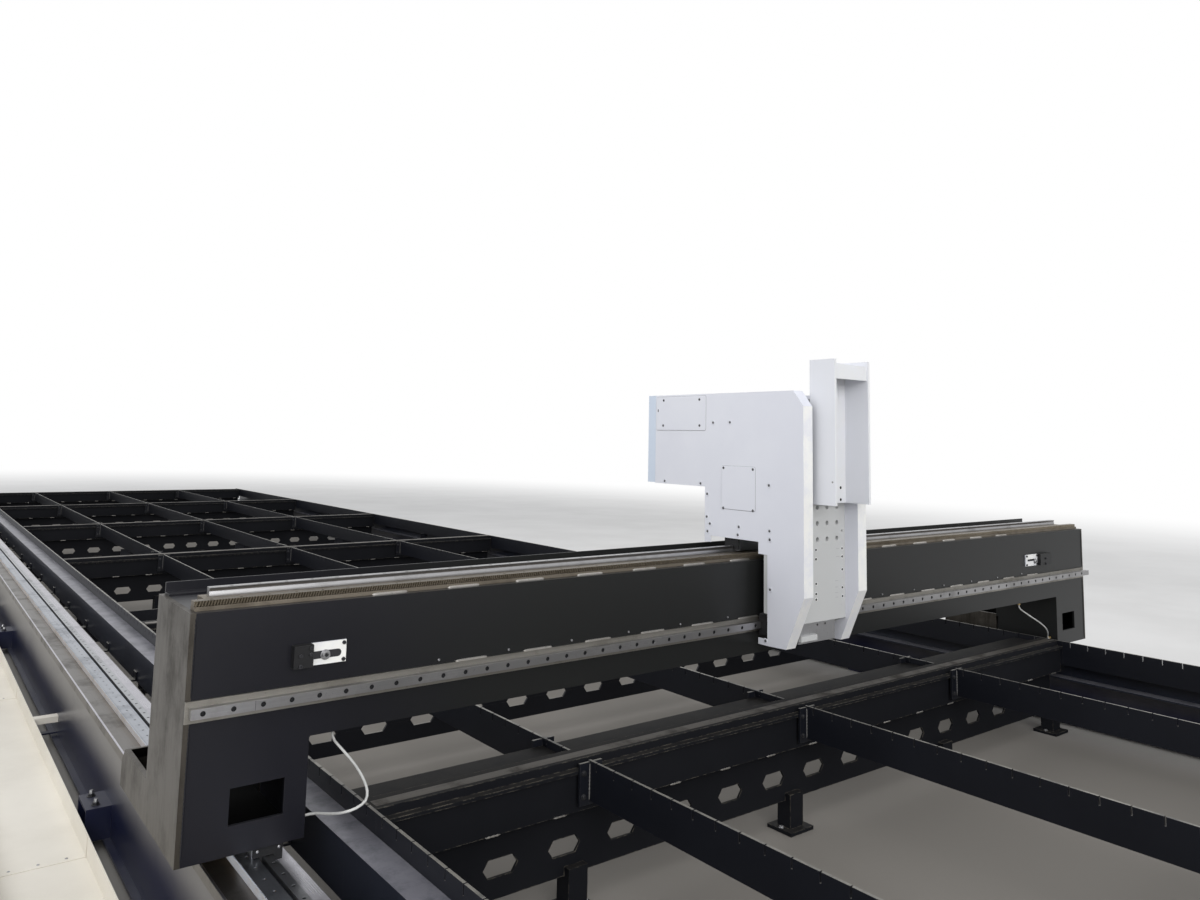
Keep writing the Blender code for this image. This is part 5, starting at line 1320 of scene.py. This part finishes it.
@dataclass
class FloorRail(SubAssembly):
    """One floor rail's running gear: grooved guide, toothed rack, plugs and levelling brackets."""

    side: Side = Side.LEFT
    start: float = -3.42
    length: float = 19.40
    seat: float = 0.3903
    guide_centre: float = 2.331
    guide_half: float = 0.014
    guide_top: float = 0.416
    rack_inner: float = 2.357
    rack_outer: float = 2.411
    rack_top: float = 0.415
    tooth_depth: float = 0.004
    tooth_pitch: float = 0.010
    hole_first: float = 0.06
    holes: int = 242
    outer: float = 2.478
    land_inner: float = 2.2580
    land_clear: float = 0.004
    anchors: tuple[float, ...] = (-2.30, 1.50, 5.30, 9.10, 12.90)
    arm: tuple[float, float] = (2.4905, 2.5600)
    arm_heights: tuple[float, float, float] = (0.0525, 0.1475, 0.1603)
    rib_half: float = 0.005
    stud_line: float = 2.5300
    stud_step: float = 0.052
    stud_radius: float = 0.0075
    foot_bolt_line: float = 2.5350

    def build(self) -> None:
        """Build the rail's pieces from the seat up, then its brackets."""
        name = self.side.name.lower()
        self._guide(name)
        self._rack(name)
        self._brackets(name)
        self._seat_lands(name)

    def _guide(self, name: str) -> None:
        """Grooved guide rail with its row of plugged holes."""
        outline = rail_outline(self.guide_half, self.guide_top - self.seat)
        bar = DrilledBar(outline, self.hole_first, HOLE_PITCH, self.holes, self.length)
        origin = (self.side.value * self.guide_centre, self.start, self.guide_top)
        self.drilled(bar, origin, (AHEAD, RIGHTWARD, UP), name + "_floor_guide",
                     (name + "_grooved_guide", name + "_guide_plugs"), ("machined_steel_y", "plug_black"))

    def _rack(self, name: str) -> None:
        """Rack: drilled body, with slanted teeth along its outer edge."""
        root = self.rack_outer - self.tooth_depth
        half = (root - self.rack_inner) / 2.0
        height = self.rack_top - self.seat
        outline = ((half, 0.0), (half, -height), (-half, -height), (-half, 0.0))
        bar = DrilledBar(outline, self.hole_first, HOLE_PITCH, self.holes, self.length, 0.0048, 0.0035)
        origin = (self.side.value * (self.rack_inner + half), self.start, self.rack_top)
        teeth = tooth_row((self.side.value * root, self.start, self.seat), AHEAD, self.side.value * RIGHTWARD,
                          UP, self.length, self.tooth_pitch, self.tooth_depth, height)
        self.drilled(bar, origin, (AHEAD, RIGHTWARD, UP), name + "_floor_rack",
                     (name + "_toothed_rack", name + "_rack_screws"), ("rack_steel", "black_screw"), teeth, 30.0)

    def _brackets(self, name: str) -> None:
        """Gusset, levelling studs with nuts, and foot bolts in every anchor bracket."""
        ribs, studs, bolts = [], [], []
        way, radius = self.side.value, self.stud_radius
        near, far = (way * reach for reach in self.arm)
        floor, under, roof = self.arm_heights
        shank = ((radius, floor), (radius, under))
        tip = ((radius, roof), (radius, 0.1820), (0.0062, 0.1840))
        for place in self.anchors:
            rib = ((near, floor), (far, floor), (near, under))
            ribs.append(prism(rib, Axis.Y, place - self.rib_half, place + self.rib_half))
            for step in (-self.stud_step, self.stud_step):
                spot = (way * self.stud_line, place + step)
                studs += [turned(outline, Axis.Z, (*spot, 0.0), 12) for outline in (shank, tip)]
                bolts.append(hex_bolt(Axis.Z, (*spot, roof), 0.0125))
                bolts.append(hex_bolt(Axis.Z, (way * self.foot_bolt_line, place + step * 0.5, floor), 0.0100))
        self.piece(ribs, name + "_bracket_gussets", "rail_navy_gloss", Slot.RAIL, bevel=0.0008)
        self.piece(studs, name + "_levelling_studs", "screw_steel", Slot.MACHINED)
        self.piece(bolts, name + "_bracket_nuts", "black_screw", Slot.RAIL)

    def _seat_lands(self, name: str) -> None:
        """Light steel strips on the seat: a narrow one at its outer edge, a painted edge highlight, and a wide machined
        land inside the guide.
        """
        lands = []
        start, end = self.start + self.land_clear, self.start + self.length - self.land_clear
        for near, far in ((self.outer - 0.0020, self.outer + 0.0052), (self.land_inner, self.guide_centre - 0.0230)):
            low, high = self.side.span(near, far)
            lands.append(block((low, start, self.seat - 0.0002), (high, end, self.seat + 0.0005)))
        self.piece(lands, name + "_seat_lands", "land_steel", Slot.MACHINED)


@dataclass
class CableTray(SubAssembly):
    """Joints of the long folded tray: a strap over every seam, held by low screws."""

    start: float = -3.42
    length: float = 19.40
    inner: float = 2.5885
    outer: float = 2.8815
    floor: float = 0.0633
    wall_top: float = 0.134
    sheet: float = 0.0018
    strap: float = 0.050
    strap_first: float = 2.2
    strap_clear: float = 1.0
    strap_pitch: float = 2.44
    screw: float = 0.0055

    def build(self) -> None:
        """Build the straps and screws at even steps along the tray."""
        straps, screws = [], []
        top = self.floor + self.sheet
        runs = ((-self.outer, -self.inner, self.floor, top), (-self.outer, self.sheet - self.outer, top, self.wall_top),
                (-self.sheet - self.inner, -self.inner, top, self.wall_top))
        for place in np.arange(self.start + self.strap_first, self.start + self.length - self.strap_clear,
                               self.strap_pitch):
            straps += [block((left, place, low), (right, place + self.strap, high))
                       for left, right, low, high in runs]
            for share in (0.2, 0.5, 0.8):
                across = -self.outer + share * (self.outer - self.inner)
                screws.append(low_screw(Axis.Z, (across, place + self.strap / 2.0, top), self.screw))
        self.piece(straps, "tray_joint_straps", "tray_cream_satin", Slot.TRAY, bevel=0.0005)
        self.piece(screws, "tray_joint_screws", "screw_steel", Slot.MACHINED)


@dataclass
class Gantry(SubAssembly):
    """Gantry's guide ways, stitch welds, travel stops and truck block ends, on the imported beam."""

    body: Body = Body.GANTRY
    half_span: float = 2.585
    tip: float = 2.5694
    face: float = 0.032
    rail_z: float = 0.850
    rail_half: float = 0.0135
    rail_height: float = 0.0257
    rack_half: float = 0.0155
    rack_height: float = 0.0147
    stitch: float = 0.118
    stitch_pitch: float = 0.262
    pad_stitch_first: float = -1.766
    top_stitch_first: float = -2.052
    stitches: int = 15
    stop_bolts: tuple[tuple[float, float], ...] = ((-2.204, 0.957), (1.985, 0.955))
    stop_columns: tuple[float, ...] = (-2.148, 1.893, 2.007)
    stop_block_screws: tuple[tuple[float, float], ...] = (
        (-2.2535, 0.985), (-2.2535, 0.967), (-2.284, 0.966), (-2.284, 0.936), (2.075, 0.966), (2.075, 0.936))
    stop_slot: tuple[float, float, float, float] = (-2.2455, 0.9475, -2.1655, 0.9695)
    # Skins of painted shade inside the legs: inner and outer X, near and far Y, floor and roof heights.
    leg_shade_skins: tuple[tuple[float, ...], ...] = (
        (2.5682, 2.5697, 0.0452, 0.3970, 0.4667, 0.7180), (2.5682, 2.5697, 0.4110, 0.7180, 0.4667, 0.5680),
        (2.2493, 2.5697, 0.0452, 0.7470, 0.4654, 0.4664), (2.2493, 2.2505, 0.4110, 0.7180, 0.4667, 0.5680))
    truck_line: float = 2.331
    truck_places: tuple[float, float] = (0.060, 0.600)

    def build(self) -> None:
        """Build the rails and rack, then the details on the beam's face and the trucks."""
        self._front_rail()
        self._top_rail()
        self._top_rack()
        self._stitches()
        self._stops()
        self._end_welds()
        self._leg_shade_linings()
        self._truck_ends()

    def _front_rail(self) -> None:
        """Front guide rail, with its round end that sticks out past the right leg."""
        start = -self.half_span + 0.010
        outline = rail_outline(self.rail_half, self.rail_height)
        bar = DrilledBar(outline, 0.030, HOLE_PITCH, 64, self.half_span - start, 0.0074)
        end = turned(((0.0105, 0.0), (0.0105, 0.0070), (0.0085, 0.0105), (0.0040, 0.0118)), Axis.X,
                     (self.half_span, 0.011, self.rail_z), 20)
        self.drilled(bar, (start, -0.002, self.rail_z), (RIGHTWARD, UP, -AHEAD), "front_guide_rail",
                     ("front_grooved_rail", "front_rail_plugs"), ("machined_steel_x", "plug_black"), end)
        seam = block((-2.4074, -0.0022, self.rail_z - 0.0132), (-2.4066, -0.0020, self.rail_z + 0.0132))
        self.piece(seam, "front_rail_seam", "plug_black", Slot.BLOCK)

    def _top_rail(self) -> None:
        """Top guide rail on its pad."""
        outline = rail_outline(self.rail_half, self.rail_height)
        bar = DrilledBar(outline, 0.065, HOLE_PITCH, 62, 5.010, 0.0060)
        self.drilled(bar, (-2.505, 0.175, 1.156), (RIGHTWARD, AHEAD, UP), "top_guide_rail",
                     ("top_grooved_rail", "top_rail_plugs"), ("machined_steel_x", "plug_black"))

    def _top_rack(self) -> None:
        """Rack on top of the beam: drilled body and teeth towards the front."""
        half, height, length = self.rack_half, self.rack_height, 2.0 * self.tip
        outline = ((half, 0.0), (half, -height), (-half, -height), (-half, 0.0))
        bar = DrilledBar(outline, 0.050, HOLE_PITCH, 63, length, 0.0048, 0.0035)
        teeth = tooth_row((-self.tip, 0.065, 1.1223), RIGHTWARD, -AHEAD, UP, length, 0.0080, 0.004, height)
        self.drilled(bar, (-self.tip, 0.0805, 1.137), (RIGHTWARD, AHEAD, UP), "top_rack",
                     ("top_toothed_rack", "top_rack_screws"), ("top_rack_steel", "black_screw"), teeth, 30.0)

    def _stitches(self) -> None:
        """Stitch welds over the rail pad and in front of the rack pad, and the tiny screws between them."""
        beads, screws = [], []
        for k in range(self.stitches):
            step = k * self.stitch_pitch
            for first, y, z, size in ((self.pad_stitch_first, 0.0305, 0.8805, 0.0042),
                                      (self.top_stitch_first, 0.0560, 1.1120, 0.0050)):
                low = first + step
                beads.append(bead((low, y, z), (low + self.stitch, y, z), size, 0.10, 0.008))
            place = self.pad_stitch_first + step - 0.060
            screws.append(socket_screw(Axis.Y, (place, self.face, 0.8920), 0.0040, -1.0))
        self.piece(beads, "beam_stitch_welds", "weld_steel", Slot.RAW)
        self.piece(screws, "beam_pad_screws", "screw_steel", Slot.MACHINED)

    def _stops(self) -> None:
        """Bolt, corner screws and block screws of both travel stops, and the left stop's slot.

        The slot is a thin black inlay, painted shade where the slot lies. It covers the solid's own slot, which is
        lower than the photo's.
        """
        bright, dark = [], []
        face, front = self.face - 0.0063, self.face - 0.0263
        for bolt, height in self.stop_bolts:
            bright.append(turned(((0.0150, 0.0), (0.0150, -0.0018)), Axis.Y, (bolt, face, height), 20))
            bright.append(socket_screw(Axis.Y, (bolt, face - 0.0018, height), 0.0120, -1.0))
            dark.append(turned(((0.0050, -0.0045), (0.0050, -0.0095)), Axis.Y, (bolt, face, height), 6))
        dark += [socket_screw(Axis.Y, (across, face, height), 0.0058, -1.0)
                 for across in self.stop_columns for height in (0.938, 0.986)]
        dark += [socket_screw(Axis.Y, (across, front, height), 0.0060, -1.0)
                 for across, height in self.stop_block_screws]
        # Black inlay in the slot's outline: painted shade of the slot.
        left, low, right, high = self.stop_slot
        turn = np.linspace(-0.5 * np.pi, 0.5 * np.pi, 9)
        tip = np.stack((right + 0.0105 * np.cos(turn), 0.9585 + 0.0110 * np.sin(turn)), axis=1)
        slot = np.vstack((((left, high), (left, low)), tip))
        dark.append(prism(slot, Axis.Y, face - 0.0005, face))
        self.piece(bright, "stop_bolts", "screw_steel", Slot.MACHINED)
        self.piece(dark, "stop_corner_screws", "black_screw", Slot.BLOCK)

    def _end_welds(self) -> None:
        """Weld beads down the joints between the beam and its raw end frames."""
        beads = [bead((side.value * self.tip, y, low), (side.value * self.tip, y, high), 0.0026, 0.35, 0.012)
                 for side in Side
                 for y, low, high in ((self.face, 0.455, 0.818), (self.face, 0.884, 1.104), (0.410, 0.575, 1.104))]
        self.piece(beads, "end_frame_welds", "beam_black_satin", Slot.RAW)

    def _leg_shade_linings(self) -> None:
        """Painted shade: a thin near-black skin on the raw plates inside both legs, on the sides and the floor."""
        skins = []
        for side in Side:
            for inner, outer, near, far, floor, roof in self.leg_shade_skins:
                low, high = side.span(inner, outer)
                skins.append(block((low, near, floor), (high, far, roof)))
        self.piece(skins, "leg_inside_paint", "inside_black", Slot.BEAM)

    def _truck_ends(self) -> None:
        """Rubber end seals on the four guide blocks that run on the floor rails, with two screws each."""
        seals, screws = [], []
        half, slot, low, high, roof = 0.041, 0.0150, 0.400, 0.4475, 0.4175
        view = ((-half, low), (-slot, low), (-slot, roof), (slot, roof), (slot, low), (0.0245, low),
                (0.0245, roof), (half, roof), (half, high), (-half, high))
        for side in Side:
            middle = side.value * self.truck_line
            outline = [(middle + side.value * a, b) for a, b in view]
            for near in self.truck_places:
                for start, end, way in ((near - 0.0093, near - 0.0003, -1.0), (near + 0.1403, near + 0.1493, 1.0)):
                    seals.append(prism(outline, Axis.Y, start, end))
                    face = start if way < 0.0 else end
                    screws += [low_screw(Axis.Y, (middle + step, face, 0.434), 0.0045, way)
                               for step in (-0.030, 0.030)]
        self.piece(seals, "truck_block_seals", "seal_rubber", Slot.BLOCK, bevel=0.0008)
        self.piece(screws, "truck_block_screws", "screw_steel", Slot.MACHINED)


@dataclass
class LubeLine(SubAssembly):
    """One milky lubrication tube in a loose curve from the beam's underside to the leg, with brass nuts."""

    body: Body = Body.GANTRY
    side: Side = Side.LEFT
    points: tuple[tuple[float, float, float], ...] = ()
    leg_inner: float = 2.237
    diameter: float = 0.008
    steps: int = 30
    fine_steps: int = 20

    def build(self) -> None:
        name = self.side.name.lower()
        route = self._route()
        tube = self.piece(swept(route, self.diameter / 2.0, 14), name + "_grease_tube", "tube_nylon", Slot.TUBE,
                          (name + "_lube_tube",), smooth=60.0)
        self._nuts(name)

    def _route(self) -> np.ndarray:
        """Read a smooth curve through the route's points at even steps.

        Each span is a Catmull-Rom curve, half of 2b + (c - a) t + (2a - 5b + 4c - d) t^2 + (3b - a - 3c + d) t^3.
        """
        shape = np.array(self.points, float)
        shape[:, 0] = self.side.value * (self.leg_inner - shape[:, 0])
        ends = np.vstack((shape[:1], shape, shape[-1:]))
        a, b, c, d = (ends[k:len(ends) - 3 + k, None] for k in range(4))
        t = (np.arange(self.fine_steps) / float(self.fine_steps))[None, :, None]
        square, cube = 2 * a - 5 * b + 4 * c - d, 3 * b - a - 3 * c + d
        fine = 0.5 * (2 * b + (c - a) * t + square * t ** 2 + cube * t ** 3)
        fine = np.vstack((fine.reshape(-1, 3), shape[-1:]))
        run = np.concatenate(((0.0,), np.cumsum(np.linalg.norm(np.diff(fine, axis=0), axis=1))))
        even = np.linspace(0.0, run[-1], self.steps)
        return np.stack([np.interp(even, run, fine[:, k]) for k in range(3)], axis=-1)

    def _nuts(self, name: str) -> None:
        """Brass union nut at each end: a hexagon with a round collar, over the beam's round fittings."""
        top, foot = self.points[0], self.points[-1]
        across, leg = (self.side.value * (self.leg_inner - inset) for inset in (top[0], 0.0))
        way = -self.side.value
        hexagon = ((0.0098, 0.0), (0.0098, 0.0100))
        collar = ((0.0088, 0.0100), (0.0088, 0.0135), (0.0070, 0.0144))
        nuts = [turned(((0.0098, 0.7300), (0.0098, 0.7200)), Axis.Z, (across, top[1], 0.0), 6),
                turned(((0.0088, 0.7200), (0.0088, 0.7165), (0.0070, 0.7156)), Axis.Z, (across, top[1], 0.0), 16)]
        nuts += [standing(outline, Axis.X, (leg, foot[1], foot[2]), way=way, sides=sides)
                 for outline, sides in ((hexagon, 6), (collar, 16))]
        self.piece(nuts, name + "_tube_nuts", "brass_fitting", Slot.MACHINED)


@dataclass
class Carriage(SubAssembly):
    """Carriage details: screwed access plates, cover screws in flat dimples, and guide block ends."""

    body: Body = Body.CARRIAGE
    left: float = -0.357
    right: float = -0.004
    upper: tuple[float, float, float, float] = (0.331, 0.669, 1.654, 1.812)
    lower: tuple[float, float, float, float] = (0.028, 0.227, 1.312, 1.499)
    plate_radius: float = 0.008
    shade_rim: float = 0.0016
    plate_screws: tuple[tuple[float, float], ...] = (
        (0.618, 1.796), (0.372, 1.795), (0.620, 1.676), (0.370, 1.676),
        (0.215, 1.490), (0.040, 1.489), (0.215, 1.315), (0.040, 1.315))
    cover_screws: tuple[tuple[float, float], ...] = (
        (0.284, 1.689), (0.179, 1.690), (-0.049, 1.426), (0.606, 1.414), (0.362, 1.414), (0.319, 1.370),
        (0.320, 1.269), (0.300, 1.240), (0.315, 1.205), (0.123, 1.240), (0.129, 1.206), (-0.052, 1.238),
        (-0.053, 1.203), (-0.055, 1.000), (-0.030, 0.790))
    block_ends: tuple[tuple[float, float], ...] = (
        (-0.3483, -0.3403), (-0.2217, -0.2137), (-0.1503, -0.1423), (-0.0237, -0.0157))
    tap_face: float = -0.166
    tap_columns: tuple[float, float] = (-0.027, -0.199)
    right_taps: tuple[float, ...] = (1.161, 1.127, 1.073, 0.998, 0.962)
    left_taps: tuple[float, ...] = (1.164, 1.126, 1.026, 0.985, 0.962)
    filled_taps: tuple[float, ...] = (1.084, 1.040, 0.980, 0.930)
    marks: tuple[tuple[float, float], ...] = (
        (-0.055, 1.162), (-0.055, 1.129), (-0.065, 1.029), (-0.065, 1.003), (-0.065, 0.980), (-0.065, 0.961))

    def build(self) -> None:
        """Build the plates and their screws, then the small parts of the body."""
        self._access_plates()
        self._cover_screws()
        self._block_ends()
        self._back_screws()
        self._face_plate_holes()

    def _access_plates(self) -> None:
        """Two thin plates with round corners, each on a slightly larger dark grey sheet whose rim is painted shade
        round the plate, each held by four low screws.
        """
        outer, inner, grow = self.left - 0.0023, self.left - 0.0003, self.shade_rim
        for (near, far, floor, roof), name in ((self.upper, "upper"), (self.lower, "lower")):
            outline = rounded_plate((near, floor), (far, roof), self.plate_radius)
            self.piece(prism(outline, Axis.X, outer, inner), name + "_screwed_plate", "cover_white_powder",
                       Slot.COVER, (name + "_access_plate",), bevel=0.0008)
            # A dark grey rim just outside each plate: painted shade of the gap round it.
            rim = rounded_plate((near - grow, floor - grow), (far + grow, roof + grow), self.plate_radius + grow)
            self.piece(prism(rim, Axis.X, inner + 0.00005, inner + 0.00025), name + "_plate_gasket", "gasket_grey",
                       Slot.COVER)
        screws = [low_screw(Axis.X, (outer, y, z), 0.0060, -1.0) for y, z in self.plate_screws]
        self.piece(screws, "access_plate_screws", "dull_screw", Slot.MACHINED)
        # Latch slot: a dark sheet proud of the plate, painted shade of the slot.
        slot = rounded_plate((0.6545, 1.7400), (0.6600, 1.7540), 0.0026)
        self.piece(prism(slot, Axis.X, outer - 0.0003, outer + 0.0008), "access_plate_latch_slot", "plug_black",
                   Slot.BLOCK)

    def _cover_screws(self) -> None:
        """Low screws of both side covers, each in a flat round dimple."""
        dimples, screws = [], []
        dimple = ((0.0120, 0.0), (0.0115, 0.0010), (0.0078, 0.0012), (0.0075, 0.0002))
        for face, way in ((self.left, -1.0), (self.right, 1.0)):
            for y, z in self.cover_screws:
                dimples.append(standing(dimple, Axis.X, (face, y, z), way=way, sides=18))
                screws.append(low_screw(Axis.X, (face + way * 0.0002, y, z), 0.0056, way))
        self.piece(dimples, "cover_screw_dimples", "cover_white_powder", Slot.COVER)
        self.piece(screws, "cover_screws", "dull_screw", Slot.MACHINED)

    def _block_ends(self) -> None:
        """Rubber seals on the ends of the guide blocks of the front rail and the top rail."""
        front = ((-0.0410, 0.809), (0.0145, 0.809), (0.0145, 0.8355), (-0.0035, 0.8355), (-0.0035, 0.8645),
                 (0.0145, 0.8645), (0.0145, 0.891), (-0.0410, 0.891))
        top = ((0.134, 1.140), (0.1605, 1.140), (0.1605, 1.1575), (0.1895, 1.1575), (0.1895, 1.140),
               (0.216, 1.140), (0.216, 1.194), (0.134, 1.194))
        seals = [prism(view, Axis.X, low, high) for low, high in self.block_ends for view in (front, top)]
        self.piece(seals, "carriage_block_seals", "seal_rubber", Slot.BLOCK, bevel=0.0008)

    def _face_plate_holes(self) -> None:
        """Face plate's tapped holes where the photo has them, and its scribed marks.

        Each hole is drawn: a raised rim in the white cover paint, a painted highlight, round a dark disc, painted
        shade. The solid has other heights in its right column, and thin grey discs cover four of its real holes there.
        """
        face = self.tap_face
        rim = ((0.0082, 0.0), (0.0080, -0.0004), (0.0056, -0.0004), (0.0054, -0.0001))
        bore = ((0.0053, -0.00005), (0.0052, -0.00035))
        filler = ((0.0066, 0.0), (0.0065, -0.0002))
        columns = zip(self.tap_columns, (self.right_taps, self.left_taps))
        spots = [(x, z) for x, heights in columns for z in heights]
        # Bright rims are painted highlights, dark bores painted shade.
        highlight_rims = [turned(rim, Axis.Y, (x, face, z), 16) for x, z in spots]
        bore_shades = [turned(bore, Axis.Y, (x, face, z), 12) for x, z in spots]
        fillers = [turned(filler, Axis.Y, (self.tap_columns[0], face, z), 16) for z in self.filled_taps]
        marks = [block((x - 0.010, face - 0.0002, z - 0.0006), (x + 0.010, face, z + 0.0006))
                 for x, z in self.marks]
        self.piece(highlight_rims, "face_plate_tap_rims", "cover_white_powder", Slot.GREY)
        self.piece(bore_shades, "face_plate_taps", "plug_black", Slot.BLOCK)
        self.piece(fillers, "face_plate_fillers", "plate_grey_powder", Slot.GREY)
        self.piece(marks, "face_plate_scribed_marks", "gasket_grey", Slot.GREY)

    def _back_screws(self) -> None:
        """Screws of the back cover."""
        screws = [low_screw(Axis.Y, (x, 0.747, z), 0.0052) for x in (-0.320, -0.041) for z in (1.44, 1.61, 1.78)]
        self.piece(screws, "back_cover_screws", "screw_steel", Slot.MACHINED)


@dataclass
class Ram(SubAssembly):
    """Ram details: grooved vertical rails, the back wall's two holes drawn as painted shade, and the side screws of its
    open channel.
    """

    body: Body = Body.RAM
    rails: tuple[float, float] = (-0.245, -0.074)
    back: float = -0.186
    low: float = 1.372
    length: float = 0.563

    def build(self) -> None:
        """Build both rails, then the dark discs painted as the shade in the photo's two holes, and the screws."""
        bar = DrilledBar(rail_outline(0.0075, 0.0137), 0.0415, HOLE_PITCH, 7, self.length, 0.0032, 0.003)
        plugs = []
        for across, side in zip(self.rails, ("left", "right")):
            origin = (across, self.back, self.low)
            self.piece(bar.form(origin, UP, RIGHTWARD, AHEAD), side + "_ram_grooved_rail", "machined_steel_z",
                       Slot.MACHINED, (side + "_ram_rail",))
            plugs.append(bar.plugs(origin, UP, AHEAD))
        self.piece(plugs, "ram_rail_plugs", "plug_black", Slot.BLOCK)
        disc = ((0.0064, 0.0), (0.0062, -0.0004), (0.0040, -0.0004))
        # Dark discs: painted shade of the back wall's two holes.
        holes = [turned(disc, Axis.Y, (-0.0895, -0.2100, height), 16) for height in (1.371, 1.421)]
        self.piece(holes, "ram_back_holes", "plug_black", Slot.BLOCK)
        screws = [low_screw(Axis.X, (face, -0.3135, 1.451), 0.0042, way)
                  for face, way in ((-0.275, -1.0), (-0.044, 1.0))]
        self.piece(screws, "ram_side_screws", "screw_steel", Slot.MACHINED)


@dataclass
class NodeDressing:
    """Gives every CAD node that stays in view its detailed material."""

    finishes: Finishes

    def build(self) -> None:
        """Assign a finish to each node by its slot and its place."""
        by_slot = {row["node"]: row["material_slot"] for row in frame["record"]["subparts"]}
        usual = {
            Slot.TABLE.value: "cross_beam_black", Slot.RAIL.value: "rail_navy_gloss",
            Slot.TRAY.value: "tray_cream_satin", Slot.BEAM.value: "beam_black_satin",
            Slot.RAW.value: "rolled_plate_steel", Slot.COVER.value: "cover_white_powder",
            Slot.BLOCK.value: "stop_black", Slot.TUBE.value: "tube_nylon", Slot.GREY.value: "plate_grey_powder",
            Slot.MACHINED.value: "machined_steel_y",
        }
        special = {
            "front_rail_pad": "milled_pad_steel", "top_rack_pad": "top_pad_steel",
            "top_rail_pad": "top_pad_steel", "left_rail_seat": "seat_steel", "right_rail_seat": "seat_steel",
            "lower_plate": "lower_plate_steel", "back_cover": "back_cover_cool",
            "ram_channel": "ram_white_powder", "left_front_carriage_block": "guide_block_steel",
            "right_front_carriage_block": "guide_block_steel",
        }
        for name, node in NODES.items():
            finish = special.get(name, usual[by_slot[name]])
            node.data.materials.clear()
            node.data.materials.append(self.finishes[finish])
            LOG.info("%s dressed as %s", name, finish)


LEFT_TUBE = (
    (0.0960, 0.100, 0.7152), (0.0960, 0.100, 0.704), (0.1010, 0.091, 0.684), (0.1250, 0.065, 0.652),
    (0.1450, 0.035, 0.622), (0.1570, 0.000, 0.592), (0.1550, -0.040, 0.567), (0.1370, -0.068, 0.550),
    (0.1050, -0.075, 0.539), (0.0770, -0.055, 0.528), (0.0650, -0.012, 0.514), (0.0570, 0.035, 0.501),
    (0.0470, 0.068, 0.494), (0.0320, 0.078, 0.492), (0.0225, 0.078, 0.492), (0.0148, 0.078, 0.492),
)
RIGHT_TUBE = (
    (0.3820, 0.060, 0.7152), (0.3820, 0.060, 0.704), (0.3670, 0.052, 0.685), (0.2920, 0.034, 0.642),
    (0.2170, 0.028, 0.606), (0.1470, 0.032, 0.571), (0.0870, 0.048, 0.537), (0.0490, 0.066, 0.505),
    (0.0310, 0.078, 0.487), (0.0225, 0.078, 0.486), (0.0148, 0.078, 0.486),
)


def main() -> None:
    """Build the studio, then the machine from the floor up."""
    logging.basicConfig(level=logging.INFO, format="%(message)s")
    Studio().build()
    finishes = Finishes()
    NodeDressing(finishes).build()
    LubeLine(finishes, side=Side.LEFT, points=LEFT_TUBE).build()
    LubeLine(finishes, side=Side.RIGHT, points=RIGHT_TUBE).build()
    TableGrid(finishes).build()
    for side in Side:
        FloorRail(finishes, side=side).build()
    CableTray(finishes).build()
    Gantry(finishes).build()
    Carriage(finishes).build()
    Ram(finishes).build()


if __name__ == "__main__":
    main()
